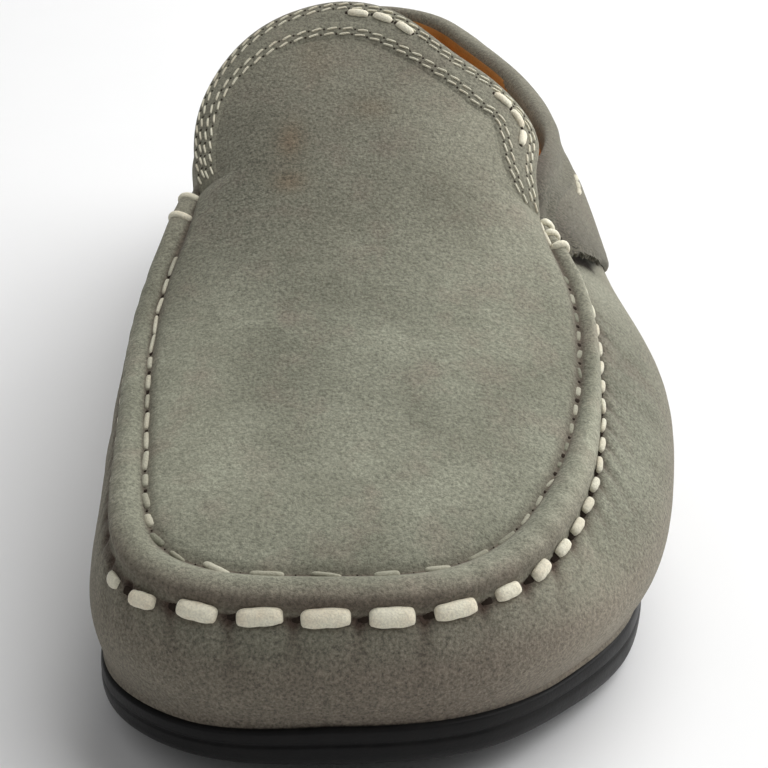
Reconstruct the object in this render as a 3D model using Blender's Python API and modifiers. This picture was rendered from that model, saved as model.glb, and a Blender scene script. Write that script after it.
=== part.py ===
"""Driving loafer for the left foot: moccasin upper with a raised toe seam on a low moulded sole.

The toe points to -Y, the lateral side is +X and the floor is z = 0. The tables are in millimetres, x from
a line through the middle of the heel; ORIGIN_X and ORIGIN_Y bring the middle of the shoe to the origin.
"""

import bmesh
import bpy
import numpy as np

MM = 0.001
WELD = 0.002
ORIGIN_X = 6.5
ORIGIN_Y = 3.7

# Colour and roughness of the materials
SUEDE = ((0.235, 0.232, 0.182), 0.92)
RUBBER = ((0.014, 0.0135, 0.014), 0.6)
LEATHER = ((0.30, 0.105, 0.022), 0.55)

# Leather and the play between pieces
UPPER_WALL = 1.8
PIECE_GAP = 0.3
SEAT_HEIGHT = 1.6
BULGE_SKEW = 1.1

# A row for each rib of the last, from the toe along the lateral side to the heel and back on the medial side.
# The feather is where the upper meets the sole. The top is the toe seam as far back as the throat corners,
# and behind them the edge of the quarters under the collar. The bulge is how far the wall bows out between.
RIB_COLUMNS = ("feather_x", "feather_y", "top_x", "top_y", "top_z", "bulge")
RIBS = (
    (-4.0, -135.0, -4.0, -133.0, 33.4, 3.2),
    (19.0, -130.3, 17.0, -130.2, 33.4, 3.2),
    (34.0, -115.8, 31.5, -119.0, 35.2, 6.0),
    (46.3, -95.0, 41.5, -95.0, 40.0, 8.2),
    (50.0, -71.0, 43.8, -72.0, 45.4, 10.0),
    (50.0, -45.0, 42.6, -50.0, 52.2, 11.3),
    (47.0, -20.0, 38.2, -33.0, 58.4, 10.5),
    (42.0, 10.0, 42.0, 5.0, 55.5, 6.5),
    (37.0, 45.0, 41.5, 42.0, 52.0, 4.0),
    (34.5, 80.0, 36.0, 80.0, 51.2, 3.8),
    (31.0, 110.0, 27.5, 109.0, 52.2, 4.2),
    (21.0, 131.0, 17.0, 129.5, 53.4, 4.5),
    (0.0, 139.5, 0.0, 137.0, 54.0, 4.5),
    (-20.5, 131.0, -16.5, 129.5, 53.4, 4.5),
    (-30.5, 110.0, -28.5, 109.0, 52.0, 4.0),
    (-32.0, 80.0, -32.5, 80.0, 51.5, 3.2),
    (-30.5, 45.0, -34.5, 42.0, 53.0, 3.2),
    (-31.0, 10.0, -34.5, 5.0, 56.0, 3.0),
    (-36.0, -22.0, -35.4, -32.0, 61.0, 3.2),
    (-41.0, -48.0, -40.6, -50.0, 54.2, 2.5),
    (-43.0, -75.0, -41.8, -74.0, 45.8, 2.5),
    (-42.5, -98.0, -40.8, -98.0, 39.8, 2.6),
    (-38.2, -118.5, -36.8, -122.0, 35.2, 2.6),
    (-25.0, -131.5, -24.0, -130.8, 33.6, 2.8),
)
LATERAL_CORNER = 6
MEDIAL_CORNER = 18

# Side view: height of the feather, and of the underside of the sole with its toe spring, arch and heel
FEATHER_COLUMNS = ("along", "height")
FEATHER = (
    (-140, 15.5),
    (-115, 12.3),
    (-90, 11.0),
    (-50, 11.0),
    (0, 12.5),
    (50, 14.5),
    (100, 16.0),
    (142, 17.0),
)
UNDERSIDE_COLUMNS = ("along", "height")
UNDERSIDE = (
    (-140, 8.6),
    (-128, 6.2),
    (-116, 4.0),
    (-104, 1.7),
    (-92, 0.3),
    (-84, 0.0),
    (-40, 0.0),
    (-15, 1.8),
    (20, 3.6),
    (52, 2.4),
    (72, 0.0),
    (130, 0.0),
    (142, 1.2),
)

# The plug over the instep: where its crest lies, how far it falls at CREST_REACH to a side, and how squarely
CREST_COLUMNS = ("along", "middle", "height", "fall", "power")
CREST = (
    (-130, -4.0, 36.8, 1.0, 2.5),
    (-110, -4.0, 43.0, 2.0, 2.5),
    (-90, -3.0, 49.3, 4.5, 2.6),
    (-70, -2.0, 56.3, 7.5, 2.8),
    (-50, -1.5, 64.3, 10.5, 3.2),
    (-33, -1.0, 73.0, 18.0, 3.7),
    (-15, -1.5, 83.5, 19.0, 4.0),
    (5, -2.0, 96.0, 26.0, 4.0),
)
CREST_REACH = 40.0
SPINE_X = -1.0
SPINE_FRONT = -96.0
SPINE_BACK = -36.0
THROAT_CORNER_POWER = 8

# The throat's edge in plan, between the ends of the toe seam, from the medial side to the lateral side
THROAT_COLUMNS = ("across", "along")
THROAT = (
    (-33.2, -20.0),
    (-32.2, -10.0),
    (-25.5, -3.0),
    (-14.0, 2.0),
    (-4.0, 4.0),
    (7.0, 1.2),
    (19.0, -5.5),
    (29.0, -10.0),
    (34.6, -15.5),
    (35.0, -24.0),
)

# The raised toe seam: its width by distance round the last from the toe, negative on the medial side; then
# the share of the way across it from the wall to the plug, and how far it stands up there
RIDGE_WIDTH_COLUMNS = ("place", "width")
RIDGE_WIDTH = ((-132, 5.0), (-105, 6.2), (-80, 6.4), (45, 6.4), (68, 5.6), (90, 4.8), (136, 4.4))
RIDGE_RISE = 3.4
RIDGE_RUN_OUT = 9.0
RIDGE_END_STAND = 0.25
RIDGE_COLUMNS = ("across", "stand")
RIDGE = ((0.0, 0.0), (0.1, 1.9), (0.28, 2.9), (0.5, 3.1), (0.74, 2.4), (0.92, 0.7), (1.0, 0.0))

# The sole's side: share of the way down it, and how far it stands out from the upper's foot
SOLE_SIDE_COLUMNS = ("down", "out")
SOLE_SIDE = (
    (0.0, 0.4),
    (0.05, 1.2),
    (0.24, 1.3),
    (0.29, 0.5),
    (0.34, 0.5),
    (0.39, 1.3),
    (0.76, 0.8),
    (0.93, -0.6),
    (1.0, -2.6),
)

INSOLE_THICKNESS = 2.6
INSOLE_INSET = 0.8

# Strip round the throat, strip round the quarters and the padded collar above it
THROAT_BAND_MIDDLE = 10.0
THROAT_BAND_END = 6.5
THROAT_BAND_OFF_SEAM = 1.6
THROAT_BAND_THICKNESS = 1.0
SIDE_BAND_DEPTH = 23.0
SIDE_BAND_THICKNESS = 1.6
SIDE_BAND_SLANT = 26.0
SIDE_BAND_LATERAL_REACH = 9.5
SIDE_BAND_MEDIAL_REACH = 4.0
SIDE_BAND_LATERAL_LIFT = 2.6
SIDE_BAND_LIFT_RUN = 26.0
SIDE_BAND_LIFT_FADE = 1.0
SIDE_BAND_TOP = 1.2
COLLAR_HEIGHT = 9.2
COLLAR_WIDTH = 6.6
COLLAR_TIP = 0.35
COLLAR_START = 8.0
COLLAR_LATERAL_RUN_OUT = 14.0
COLLAR_MEDIAL_RUN_OUT = 34.0

# Mesh density
PER_RIB = 4
TANGENT_STEP = 0.5
WALL_STEPS = 6
PLUG_RINGS = 4
PLUG_RINGS_END = 0.5
CAP_STEPS = 4
THROAT_STEPS = 24
THROAT_BAND_STEPS = 3
SIDE_BAND_STEPS = 5
SIDE_BAND_FINE = 20
COLLAR_SIDES = 10


def columns(names, rows):
    """The table as one array for each named column."""
    return dict(zip(names, np.array(rows, float).T))


def ease(knots, values, at):
    """A smooth curve through a column that never overshoots its rows."""
    step = np.diff(knots)
    slope = np.diff(values) / step
    before, after = slope[:-1], slope[1:]
    same_way = before * after > 0
    middle = np.where(same_way, 2 * before * after / np.where(same_way, before + after, 1), 0)
    tangent = np.concatenate([slope[:1], middle, slope[-1:]])
    at = np.clip(at, knots[0], knots[-1])
    row = np.clip(np.searchsorted(knots, at, side="right") - 1, 0, len(step) - 1)
    t = (at - knots[row]) / step[row]
    start = (1 + 2 * t) * (1 - t) ** 2 * values[row] + t * (1 - t) ** 2 * step[row] * tangent[row]
    end = t**2 * (3 - 2 * t) * values[row + 1] + t**2 * (t - 1) * step[row] * tangent[row + 1]
    return start + end


def spline(knots, values, at, closed):
    """A cubic spline through rows of values; a closed one ends on its first row and runs round."""
    step = np.diff(knots)
    slope = np.diff(values, axis=0) / step[:, None]
    system = np.eye(len(knots))
    change = np.zeros_like(values)
    for i in range(1, len(knots) - 1):
        system[i, i - 1 : i + 2] = step[i - 1], 2 * (step[i - 1] + step[i]), step[i]
        change[i] = 6 * (slope[i] - slope[i - 1])
    if closed:
        system[0, -1] = -1
        system[-1, [-2, -1, 1]] = step[-1], 2 * (step[-1] + step[0]), step[0]
        change[-1] = 6 * (slope[0] - slope[-1])
        at = np.mod(at, knots[-1])
    bend = np.linalg.solve(system, change)
    row = np.clip(np.searchsorted(knots, at, side="right") - 1, 0, len(step) - 1)
    a = ((knots[row + 1] - at) / step[row])[:, None]
    b = 1 - a
    curve = ((a**3 - a) * bend[row] + (b**3 - b) * bend[row + 1]) * step[row][:, None] ** 2 / 6
    return a * values[row] + b * values[row + 1] + curve


def run_length(points):
    """Distance along a line of points to each of them."""
    return np.concatenate([[0], np.cumsum(np.linalg.norm(np.diff(points, axis=0), axis=1))])


RIB_LOOP = np.array(RIBS + RIBS[:1])
RIB_PLACES = run_length((RIB_LOOP[:, 0:2] + RIB_LOOP[:, 2:4]) / 2)
ROUND = RIB_PLACES[-1]


def places_between(first, last):
    """Places round the last from one rib to another, PER_RIB steps to each rib."""
    share = np.linspace(first, last, (last - first) * PER_RIB + 1)
    turns = np.floor_divide(share, len(RIBS))
    return np.interp(share - turns * len(RIBS), np.arange(len(RIBS) + 1), RIB_PLACES) + turns * ROUND


def ribs_at(places):
    """Feather, top, bulge and outward direction in plan of the last at places round it."""
    rib = spline(RIB_PLACES, RIB_LOOP, places, closed=True)
    ahead = spline(RIB_PLACES, RIB_LOOP, places + TANGENT_STEP, closed=True)
    behind = spline(RIB_PLACES, RIB_LOOP, places - TANGENT_STEP, closed=True)
    tangent = (ahead - behind)[:, 0:2] + (ahead - behind)[:, 2:4]
    tangent /= np.linalg.norm(tangent, axis=1)[:, None]
    outward = np.column_stack([tangent[:, 1], -tangent[:, 0], np.zeros(len(places))])
    height = columns(FEATHER_COLUMNS, FEATHER)
    feather = np.column_stack([rib[:, 0:2], ease(height["along"], height["height"], rib[:, 1])])
    return feather, rib[:, 2:5], rib[:, 5:6], outward


def wall_rows(places, shares):
    """The inside of the wall: its foot on the sole, then a row at each share of the way up to its top."""
    feather, top, bulge, outward = ribs_at(places)
    tucked = feather + (0, 0, SEAT_HEIGHT)
    rows = [feather]
    for share in shares:
        rows.append(tucked * (1 - share) + top * share + outward * bulge * np.sin(np.pi * share**BULGE_SKEW))
    return rows


def ridge_rows(places, shares):
    """The inside of the toe seam at each share of the way across it."""
    _, top, _, outward = ribs_at(places)
    widths = columns(RIDGE_WIDTH_COLUMNS, RIDGE_WIDTH)
    across = (0, 0, RIDGE_RISE) - outward * ease(widths["place"], widths["width"], places)[:, None]
    return [top + across * share for share in shares]


def crest_height(x, y):
    """Height of the inside of the plug and instep."""
    crest = columns(CREST_COLUMNS, CREST)
    middle, height, fall, power = (ease(crest["along"], crest[name], y) for name in CREST_COLUMNS[1:])
    return height - fall * np.abs((x - middle) / CREST_REACH) ** power


def throat_edge(seam, shares):
    """The throat's edge at shares of the way between the two ends of the seam."""
    plan = np.vstack([seam[0, :2], np.array(THROAT), seam[-1, :2]])
    length = run_length(plan)
    points = spline(length, plan, shares * length[-1], closed=False)
    height = crest_height(points[:, 0], points[:, 1])
    for end, near in ((seam[0], 1 - shares), (seam[-1], shares)):
        height += (end[2] - crest_height(*end[:2])) * near**THROAT_CORNER_POWER
    return np.column_stack([points, height])


def plug_edge(places):
    """The closed edge of the plug: the seam from toe to lateral corner, the throat, the seam back."""
    seam = ridge_rows(places, (1.0,))[0]
    throat = throat_edge(seam, np.linspace(1, 0, THROAT_STEPS + 1))
    toe = len(seam) // 2
    return np.vstack([seam[toe:], throat[1:-1], seam[:toe]])


def plug_row(edge, share):
    """The inside of the plug at a share of the way from its edge to its spine."""
    spine = np.column_stack([np.full(len(edge), SPINE_X), np.clip(edge[:, 1], SPINE_FRONT, SPINE_BACK)])
    share = np.broadcast_to(share, len(edge))[:, None]
    plan = edge[:, :2] * (1 - share) + spine * share
    height = crest_height(plan[:, 0], plan[:, 1])
    off_crest = edge[:, 2] - crest_height(edge[:, 0], edge[:, 1])
    height += off_crest * np.clip(1 - share[:, 0] / PLUG_RINGS_END, 0, 1) ** 2
    return np.column_stack([plan, height])


def add_grid(bm, rows, closed=False):
    """Quads between rows of points; the first row ends up on the right of the way along it."""
    lines = [[bm.verts.new(point) for point in row] for row in rows]
    for low, high in zip(lines, lines[1:]):
        count = len(low)
        for i in range(count if closed else count - 1):
            j = (i + 1) % count
            bm.faces.new((low[i], low[j], high[j], high[i]))
    return lines


def add_cap(bm, ring, upward, height=None):
    """A cap across a ring, with cross lines between its two sides, on a height field if one is given."""
    half = len(ring) // 2
    lines = []
    for i in range(1, half):
        lateral, medial = ring[i], ring[-i]
        between = [lateral.co.lerp(medial.co, k / CAP_STEPS) for k in range(1, CAP_STEPS)]
        if height:
            between = [(point.x, point.y, float(height(point.x, point.y))) for point in between]
        lines.append([lateral] + [bm.verts.new(point) for point in between] + [medial])
    faces = [(ring[0], a, b) for a, b in zip(lines[0], lines[0][1:])]
    for line, following in zip(lines, lines[1:]):
        faces += [(line[k], following[k], following[k + 1], line[k + 1]) for k in range(CAP_STEPS)]
    faces += [(a, ring[half], b) for a, b in zip(lines[-1], lines[-1][1:])]
    for face in faces:
        bm.faces.new(face if upward else face[::-1])


def material(name, colour, roughness):
    """A plain material of this colour and roughness."""
    made = bpy.data.materials.new(name)
    made.use_nodes = True
    shader = made.node_tree.nodes["Principled BSDF"]
    shader.inputs["Base Color"].default_value = (*colour, 1.0)
    shader.inputs["Roughness"].default_value = roughness
    shader.inputs["Metallic"].default_value = 0.0
    return made


def finish(name, bm, surface):
    """Turns millimetre geometry into a named object over the frame's origin."""
    bmesh.ops.remove_doubles(bm, verts=bm.verts, dist=WELD)
    bmesh.ops.translate(bm, verts=bm.verts, vec=(-ORIGIN_X, -ORIGIN_Y, 0))
    bmesh.ops.scale(bm, verts=bm.verts, vec=(MM, MM, MM))
    mesh = bpy.data.meshes.new(name)
    bm.to_mesh(mesh)
    bm.free()
    mesh.materials.append(surface)
    made = bpy.data.objects.new(name, mesh)
    shoe.objects.link(made)
    return made


def thicken(made, thickness, group=""):
    """Leather of this thickness on the outer side of a sheet; a vertex group makes it thinner in places."""
    shell = made.modifiers.new("leather", "SOLIDIFY")
    shell.thickness = thickness * MM
    shell.offset = 1.0
    shell.use_even_offset = False
    shell.vertex_group = group


def build_upper():
    ridge = columns(RIDGE_COLUMNS, RIDGE)
    front = places_between(MEDIAL_CORNER - len(RIBS), LATERAL_CORNER)
    rear = places_between(LATERAL_CORNER, MEDIAL_CORNER)
    wall_shares = np.linspace(0, 1, WALL_STEPS + 1)
    edge = plug_edge(front)
    to_end = np.minimum(front - front[0], front[-1] - front) / RIDGE_RUN_OUT
    stand = np.clip(to_end, RIDGE_END_STAND, 1.0)
    tallest = UPPER_WALL + max(ridge["stand"])

    bm = bmesh.new()
    weight = bm.verts.layers.deform.verify()
    walls = add_grid(bm, wall_rows(front, wall_shares) + ridge_rows(front, ridge["across"])[1:])
    add_grid(bm, wall_rows(rear, wall_shares))
    plug = [plug_row(edge, share) for share in np.linspace(0, PLUG_RINGS_END, PLUG_RINGS + 1)]
    add_cap(bm, add_grid(bm, plug, closed=True)[-1], upward=True, height=crest_height)
    for vertex in bm.verts:
        vertex[weight][0] = UPPER_WALL / tallest
    first_ridge_line = WALL_STEPS + 1
    for k, rise in enumerate(ridge["stand"]):
        for vertex, full in zip(walls[first_ridge_line + k], stand):
            vertex[weight][0] = (UPPER_WALL + rise * full) / tallest
    made = finish("upper", bm, material("grey_suede", *SUEDE))
    made.vertex_groups.new(name="leather")
    thicken(made, tallest, "leather")


def build_outsole():
    side = columns(SOLE_SIDE_COLUMNS, SOLE_SIDE)
    under = columns(UNDERSIDE_COLUMNS, UNDERSIDE)
    feather, _, _, outward = ribs_at(places_between(0, len(RIBS))[:-1])
    top = feather[:, 2] - PIECE_GAP
    bottom = ease(under["along"], under["height"], feather[:, 1])
    rings = []
    for down, out in zip(side["down"], side["out"]):
        ring = feather + outward * (UPPER_WALL + out)
        ring[:, 2] = top * (1 - down) + bottom * down
        rings.append(ring)
    bm = bmesh.new()
    lines = add_grid(bm, rings[::-1], closed=True)
    add_cap(bm, lines[0], upward=False)
    add_cap(bm, lines[-1], upward=True)
    finish("outsole", bm, material("black_rubber", *RUBBER))


def build_insole():
    feather, _, _, outward = ribs_at(places_between(0, len(RIBS))[:-1])
    rings = []
    for height in (0.0, INSOLE_THICKNESS):
        ring = feather - outward * INSOLE_INSET
        ring[:, 2] += height
        rings.append(ring)
    bm = bmesh.new()
    lines = add_grid(bm, rings, closed=True)
    add_cap(bm, lines[0], upward=False)
    add_cap(bm, lines[-1], upward=True)
    finish("insole", bm, material("tan_leather", *LEATHER))


def sheet_normals(rows):
    """Outward direction of a sheet at each point of its rows."""
    points = np.array(rows)
    up_rows = np.gradient(points, axis=0)
    along = np.gradient(points, axis=1)
    normal = np.cross(along, up_rows)
    return normal / np.linalg.norm(normal, axis=2)[:, :, None]


def slide(lines, target):
    """The point of each line at this distance from its start."""
    return [[np.interp(target, run_length(line), axis) for axis in line.T] for line in lines]


def build_throat_band():
    edge = plug_edge(places_between(MEDIAL_CORNER - len(RIBS), LATERAL_CORNER))
    half_way = PLUG_RINGS_END / 2
    pace = np.linalg.norm(plug_row(edge, half_way) - edge, axis=1) / half_way
    first = len(edge) // 2 - THROAT_STEPS // 2
    throat = slice(first, first + THROAT_STEPS + 1)
    middle = np.sin(np.linspace(0, np.pi, THROAT_STEPS + 1))
    width = np.zeros(len(edge))
    width[throat] = THROAT_BAND_END + (THROAT_BAND_MIDDLE - THROAT_BAND_END) * middle
    inset = np.zeros(len(edge))
    inset[[throat.start, throat.stop - 1]] = THROAT_BAND_OFF_SEAM
    shares = np.linspace(0, 1, THROAT_BAND_STEPS + 1)
    rows = np.array([plug_row(edge, (inset + (width - inset) * share) / pace)[throat] for share in shares])
    bm = bmesh.new()
    add_grid(bm, rows + sheet_normals(rows) * (UPPER_WALL + PIECE_GAP))
    made = finish("throat_band", bm, material("band_suede", *SUEDE))
    thicken(made, THROAT_BAND_THICKNESS)


def build_side_band():
    rear = places_between(LATERAL_CORNER, MEDIAL_CORNER)
    ends = rear[[0, -1]]
    fronts = ends + (-SIDE_BAND_LATERAL_REACH, SIDE_BAND_MEDIAL_REACH)
    lift = np.clip(1 - (rear - rear[0]) / SIDE_BAND_LIFT_RUN, 0, 1) ** 2 * SIDE_BAND_LATERAL_LIFT
    rows = []
    for share in np.linspace(1, 0, SIDE_BAND_STEPS + 1):
        # the free front edges slant back towards the sole
        places = np.interp(rear, ends, fronts + np.array((1, -1)) * SIDE_BAND_SLANT * share)
        wall = np.array(wall_rows(places, np.linspace(0, 1, SIDE_BAND_FINE + 1))[:0:-1])
        stand_off = UPPER_WALL + PIECE_GAP + lift * (1 - SIDE_BAND_LIFT_FADE * share)
        lines = (wall - sheet_normals(wall) * stand_off[:, None]).transpose(1, 0, 2)
        rows.append(slide(lines, SIDE_BAND_TOP + SIDE_BAND_DEPTH * share))
    bm = bmesh.new()
    add_grid(bm, rows)
    made = finish("side_band", bm, material("quarter_suede", *SUEDE))
    thicken(made, SIDE_BAND_THICKNESS)


def build_collar():
    rear = places_between(LATERAL_CORNER, MEDIAL_CORNER)
    wall = np.array(wall_rows(rear, np.linspace(0, 1, WALL_STEPS + 1))[1:])
    outward = sheet_normals(wall)[-1]
    upward = wall[-1] - wall[-2]
    upward /= np.linalg.norm(upward, axis=1)[:, None]
    from_lateral = (rear - rear[0] - COLLAR_START) / COLLAR_LATERAL_RUN_OUT
    from_medial = (rear[-1] - rear - COLLAR_START) / COLLAR_MEDIAL_RUN_OUT
    swell = np.clip(np.minimum(from_lateral, from_medial), COLLAR_TIP**2, 1)[:, None] ** 0.5
    sides = []
    for angle in np.linspace(2 * np.pi, 0, COLLAR_SIDES, endpoint=False):
        across = UPPER_WALL / 2 + np.sin(angle) * COLLAR_WIDTH / 2 * swell
        rise = PIECE_GAP + (1 - np.cos(angle)) * COLLAR_HEIGHT / 2 * swell
        sides.append(wall[-1] + outward * across + upward * rise)
    # the roll starts a step behind each end of the toe seam
    rings = np.array(sides).transpose(1, 0, 2)[1:-1]
    bm = bmesh.new()
    lines = add_grid(bm, rings, closed=True)
    bm.faces.new(lines[0][::-1])
    bm.faces.new(lines[-1])
    finish("collar", bm, material("collar_suede", *SUEDE))


for old in list(bpy.data.objects):
    bpy.data.objects.remove(old)
shoe = bpy.data.collections.new("driving_loafer")
bpy.context.scene.collection.children.link(shoe)

build_outsole()
build_insole()
build_upper()
build_throat_band()
build_side_band()
build_collar()
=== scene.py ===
"""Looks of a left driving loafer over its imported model: suede upper, stitches, tan lining, rubber sole.

The shapes come from the tables of the part's source, in millimetres, moved a little to follow the photo:
the toe points to -Y, the lateral side is +X, and ORIGIN brings the middle of the shoe to the origin. A
place is a distance round the last from the toe, first along the lateral side. Along is the distance from
the toe along the toe seam, negative on the medial side.
"""

import math

import bpy
import numpy as np
from mathutils import Matrix


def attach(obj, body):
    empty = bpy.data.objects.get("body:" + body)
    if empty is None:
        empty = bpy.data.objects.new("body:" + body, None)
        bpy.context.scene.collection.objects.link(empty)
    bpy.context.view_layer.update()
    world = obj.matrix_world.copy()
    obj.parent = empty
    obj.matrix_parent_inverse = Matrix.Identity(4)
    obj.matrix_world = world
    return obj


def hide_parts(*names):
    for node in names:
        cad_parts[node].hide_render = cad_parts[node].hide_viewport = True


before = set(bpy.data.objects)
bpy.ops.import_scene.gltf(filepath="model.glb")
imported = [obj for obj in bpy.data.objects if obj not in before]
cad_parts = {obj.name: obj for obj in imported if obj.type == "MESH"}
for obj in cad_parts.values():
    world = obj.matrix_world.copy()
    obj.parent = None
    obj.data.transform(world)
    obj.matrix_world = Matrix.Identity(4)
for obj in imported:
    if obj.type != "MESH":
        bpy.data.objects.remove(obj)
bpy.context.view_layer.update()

MM = 0.001
WELD = 0.002
ORIGIN = np.array((6.5, 3.7, 0.0))
random = np.random.default_rng(7)

# Below, a soft bump along something is given as its strength, middle and reach, and a ramp as its start and
# run

# Leather and the play between pieces
UPPER_WALL = 1.8
PIECE_GAP = 0.3
SEAT_HEIGHT = 1.6
BULGE_SKEW = 1.1

# A row for each rib of the last, from the toe along the lateral side to the heel and back on the medial side:
# its feather in plan, its top in plan and in height, and how far the wall bows out between them
RIBS = (
    (-4.0, -135.0, -4.0, -133.0, 33.4, 3.2),
    (19.0, -130.3, 17.0, -130.2, 33.4, 3.2),
    (34.0, -115.8, 31.5, -119.0, 35.2, 6.0),
    (46.3, -95.0, 40.7, -95.0, 40.0, 8.2),
    (50.0, -71.0, 42.8, -72.0, 45.4, 10.2),
    (50.0, -45.0, 41.5, -50.0, 52.2, 11.5),
    (47.0, -20.0, 36.2, -33.0, 58.4, 11.0),
    (42.0, 10.0, 42.0, 5.0, 55.5, 6.5),
    (37.0, 45.0, 41.5, 42.0, 52.0, 4.0),
    (34.5, 80.0, 36.0, 80.0, 51.2, 3.8),
    (31.0, 110.0, 27.5, 109.0, 52.2, 4.2),
    (21.0, 131.0, 17.0, 129.5, 53.4, 4.5),
    (0.0, 139.5, 0.0, 137.0, 54.0, 4.5),
    (-20.5, 131.0, -16.5, 129.5, 53.4, 4.5),
    (-30.5, 110.0, -28.5, 109.0, 52.0, 4.0),
    (-32.0, 80.0, -32.5, 80.0, 51.5, 3.2),
    (-30.5, 45.0, -34.5, 42.0, 53.0, 3.2),
    (-31.0, 10.0, -34.5, 5.0, 56.0, 3.0),
    (-36.0, -20.0, -33.3, -29.0, 62.4, 3.4),
    (-41.0, -48.0, -39.9, -50.0, 54.2, 2.6),
    (-43.0, -75.0, -41.8, -74.0, 45.8, 2.5),
    (-42.5, -98.0, -40.8, -98.0, 39.8, 2.6),
    (-38.2, -118.5, -36.8, -122.0, 35.2, 2.6),
    (-25.0, -131.5, -24.0, -130.8, 33.6, 2.8),
)
LATERAL_CORNER = 6
MEDIAL_CORNER = 18

# The wall's foot stands out over the sole on either side of the toe, up to this height
FOOT_FILL = (1.0, 65.0, 38.0)
FOOT_FILL_HEIGHT = 16.0

# Side view: y and height of the feather, and of the underside of the sole with its toe spring, arch and heel
FEATHER = (
    (-140, 15.5), (-115, 12.3), (-90, 11.0), (-50, 11.0),
    (0, 12.5), (50, 14.5), (100, 16.0), (142, 17.0),
)
UNDERSIDE = (
    (-140, 8.6), (-128, 6.2), (-116, 4.0), (-104, 1.7), (-92, 0.3), (-84, 0.0), (-40, 0.0),
    (-15, 1.8), (20, 3.6), (52, 2.4), (72, 0.0), (130, 0.0), (142, 1.2),
)

# The plug over the instep: y, x of its crest, height, how far it falls at CREST_REACH to a side, and how
# squarely
CREST = (
    (-130, -4.0, 36.8, 1.0, 2.5),
    (-110, -4.0, 43.0, 2.0, 2.5),
    (-90, -3.0, 49.3, 4.5, 2.6),
    (-70, -2.0, 56.3, 7.5, 2.8),
    (-50, -1.5, 64.3, 10.5, 3.2),
    (-33, -0.2, 73.0, 18.0, 3.7),
    (-15, -1.5, 83.5, 19.0, 4.0),
    (5, -2.0, 96.0, 26.0, 4.0),
)
CREST_REACH = 40.0
SPINE_X = -1.0
SPINE_FRONT = -96.0
SPINE_BACK = -36.0

# The throat's edge in plan, between the ends of the toe seam, from the medial side to the lateral side
THROAT = (
    (-32.7, -18.9), (-31.3, -10.0), (-25.4, -3.1), (-14.2, 2.4), (-4.0, 4.3),
    (7.2, 1.4), (18.9, -6.9), (27.9, -10.1), (32.9, -12.7), (33.1, -22.3),
)
THROAT_CORNER_POWER = 8

# The raised toe seam: its width by place, how much of it is left by distance from the toe on the medial side,
# and by the share of the way across it from the wall to the plug how far the leather stands up
RIDGE_WIDTH = (
    (-132, 2.6), (-105, 4.0), (-80, 4.3), (-62, 5.0), (-45, 6.0), (0, 6.4),
    (45, 6.4), (68, 4.7), (90, 3.1), (112, 2.8), (136, 2.4),
)
RIDGE_MEDIAL = ((40, 1.0), (62, 0.8), (85, 0.52), (105, 0.48), (118, 0.62), (126, 0.8))
RIDGE = (
    (0.0, -0.5), (0.05, -0.1), (0.12, 1.9), (0.26, 3.0), (0.46, 3.3),
    (0.66, 2.9), (0.84, 1.6), (0.94, 0.1), (1.0, -0.9),
)
RIDGE_RISE = 3.4
RIDGE_RUN_OUT = 9.0
RIDGE_END_STAND = 0.25
RIDGE_LATERAL = (45, 30)
RIDGE_LATERAL_LOW = 0.8
RIDGE_LATERAL_INNER = 0.5
RIDGE_TOE_LOW = 0.3
RIDGE_FOOT_WIDTH = 1.2
PLUG_GROOVE = 0.9
PLUG_GROOVE_WIDTH = 1.3
TOE_GROOVE_LESS = 0.5
TOE_REACH = 55.0

# The sole: how far its side stands out from the upper's foot by the share of the way down, and how far its
# top edge stands above the feather by place
SOLE_SIDE = (
    (0.0, 0.25), (0.02, 0.7), (0.06, 1.15), (0.22, 1.3), (0.3, 1.25), (0.33, 1.05), (0.36, 1.05),
    (0.39, 1.25), (0.45, 1.35), (0.62, 1.2), (0.78, 0.75), (0.88, 0.1), (0.95, -0.8), (1.0, -2.4),
)
SOLE_LIP = (
    (0, 1.2), (22, 0.9), (45, -0.1), (140, 0.1), (316, 0.6),
    (470, 0.2), (545, -0.2), (600, -0.2), (629, 1.2),
)
SOLE_BORDER = 7.0
SOLE_BORDER_SLOPE = 0.6
SOLE_RECESS = 0.9

# Tread nubs in staggered rows, and their section: share of the radius, share of the recess
NUB_PITCH = 8.0
NUB_ROW_PITCH = 0.866
NUB_RADIUS = 2.6
NUB_MARGIN = 0.8
NUB_SIDES = 12
NUB_HIGHEST = 1.0
NUB_SECTION = ((1.1, 1.0), (1.0, 0.3), (0.9, 0.06), (0.75, 0.0), (0.0, 0.0))

# The insole's edge: how far in from its outline, and how high
INSOLE_INSET = 0.8
INSOLE_SECTION = ((0.4, 0.0), (0.0, 0.5), (0.0, 1.6), (0.35, 2.3), (1.2, 2.6))

# Strip round the throat: how far in its lower double row lies and how much further in its upper double row
# lies, both by the share of the way from its lateral end; its lower edge and ends are skived thin
THROAT_BAND_THICKNESS = 0.8
LOWER_ROW = (
    (0.0, 4.8), (0.05, 6.1), (0.1, 7.7), (0.16, 10.4), (0.21, 10.6), (0.27, 8.3), (0.33, 6.6), (0.37, 6.8),
    (0.42, 8.0), (0.47, 8.8), (0.55, 8.4), (0.63, 7.2), (0.74, 6.1), (0.85, 4.7), (0.95, 3.8), (1.0, 3.6),
)
UPPER_ROW = ((0.0, 0.3), (0.06, 0.9), (0.2, 1.0), (0.33, 0.6), (0.45, 0.0), (1.0, 0.0))
BAND_PAST_ROW = 1.7
BAND_OVERHANG = 0.12
BAND_BACK = 0.9
BAND_EDGE_ROUND = (0.45, 0.0, 0.6)
SKIVE = 3.0
SKIVE_ENDS = 7.0
SKIVED = 0.05
STITCH_DENT = 0.12
THROAT_DENT_WIDTH = 0.5

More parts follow.
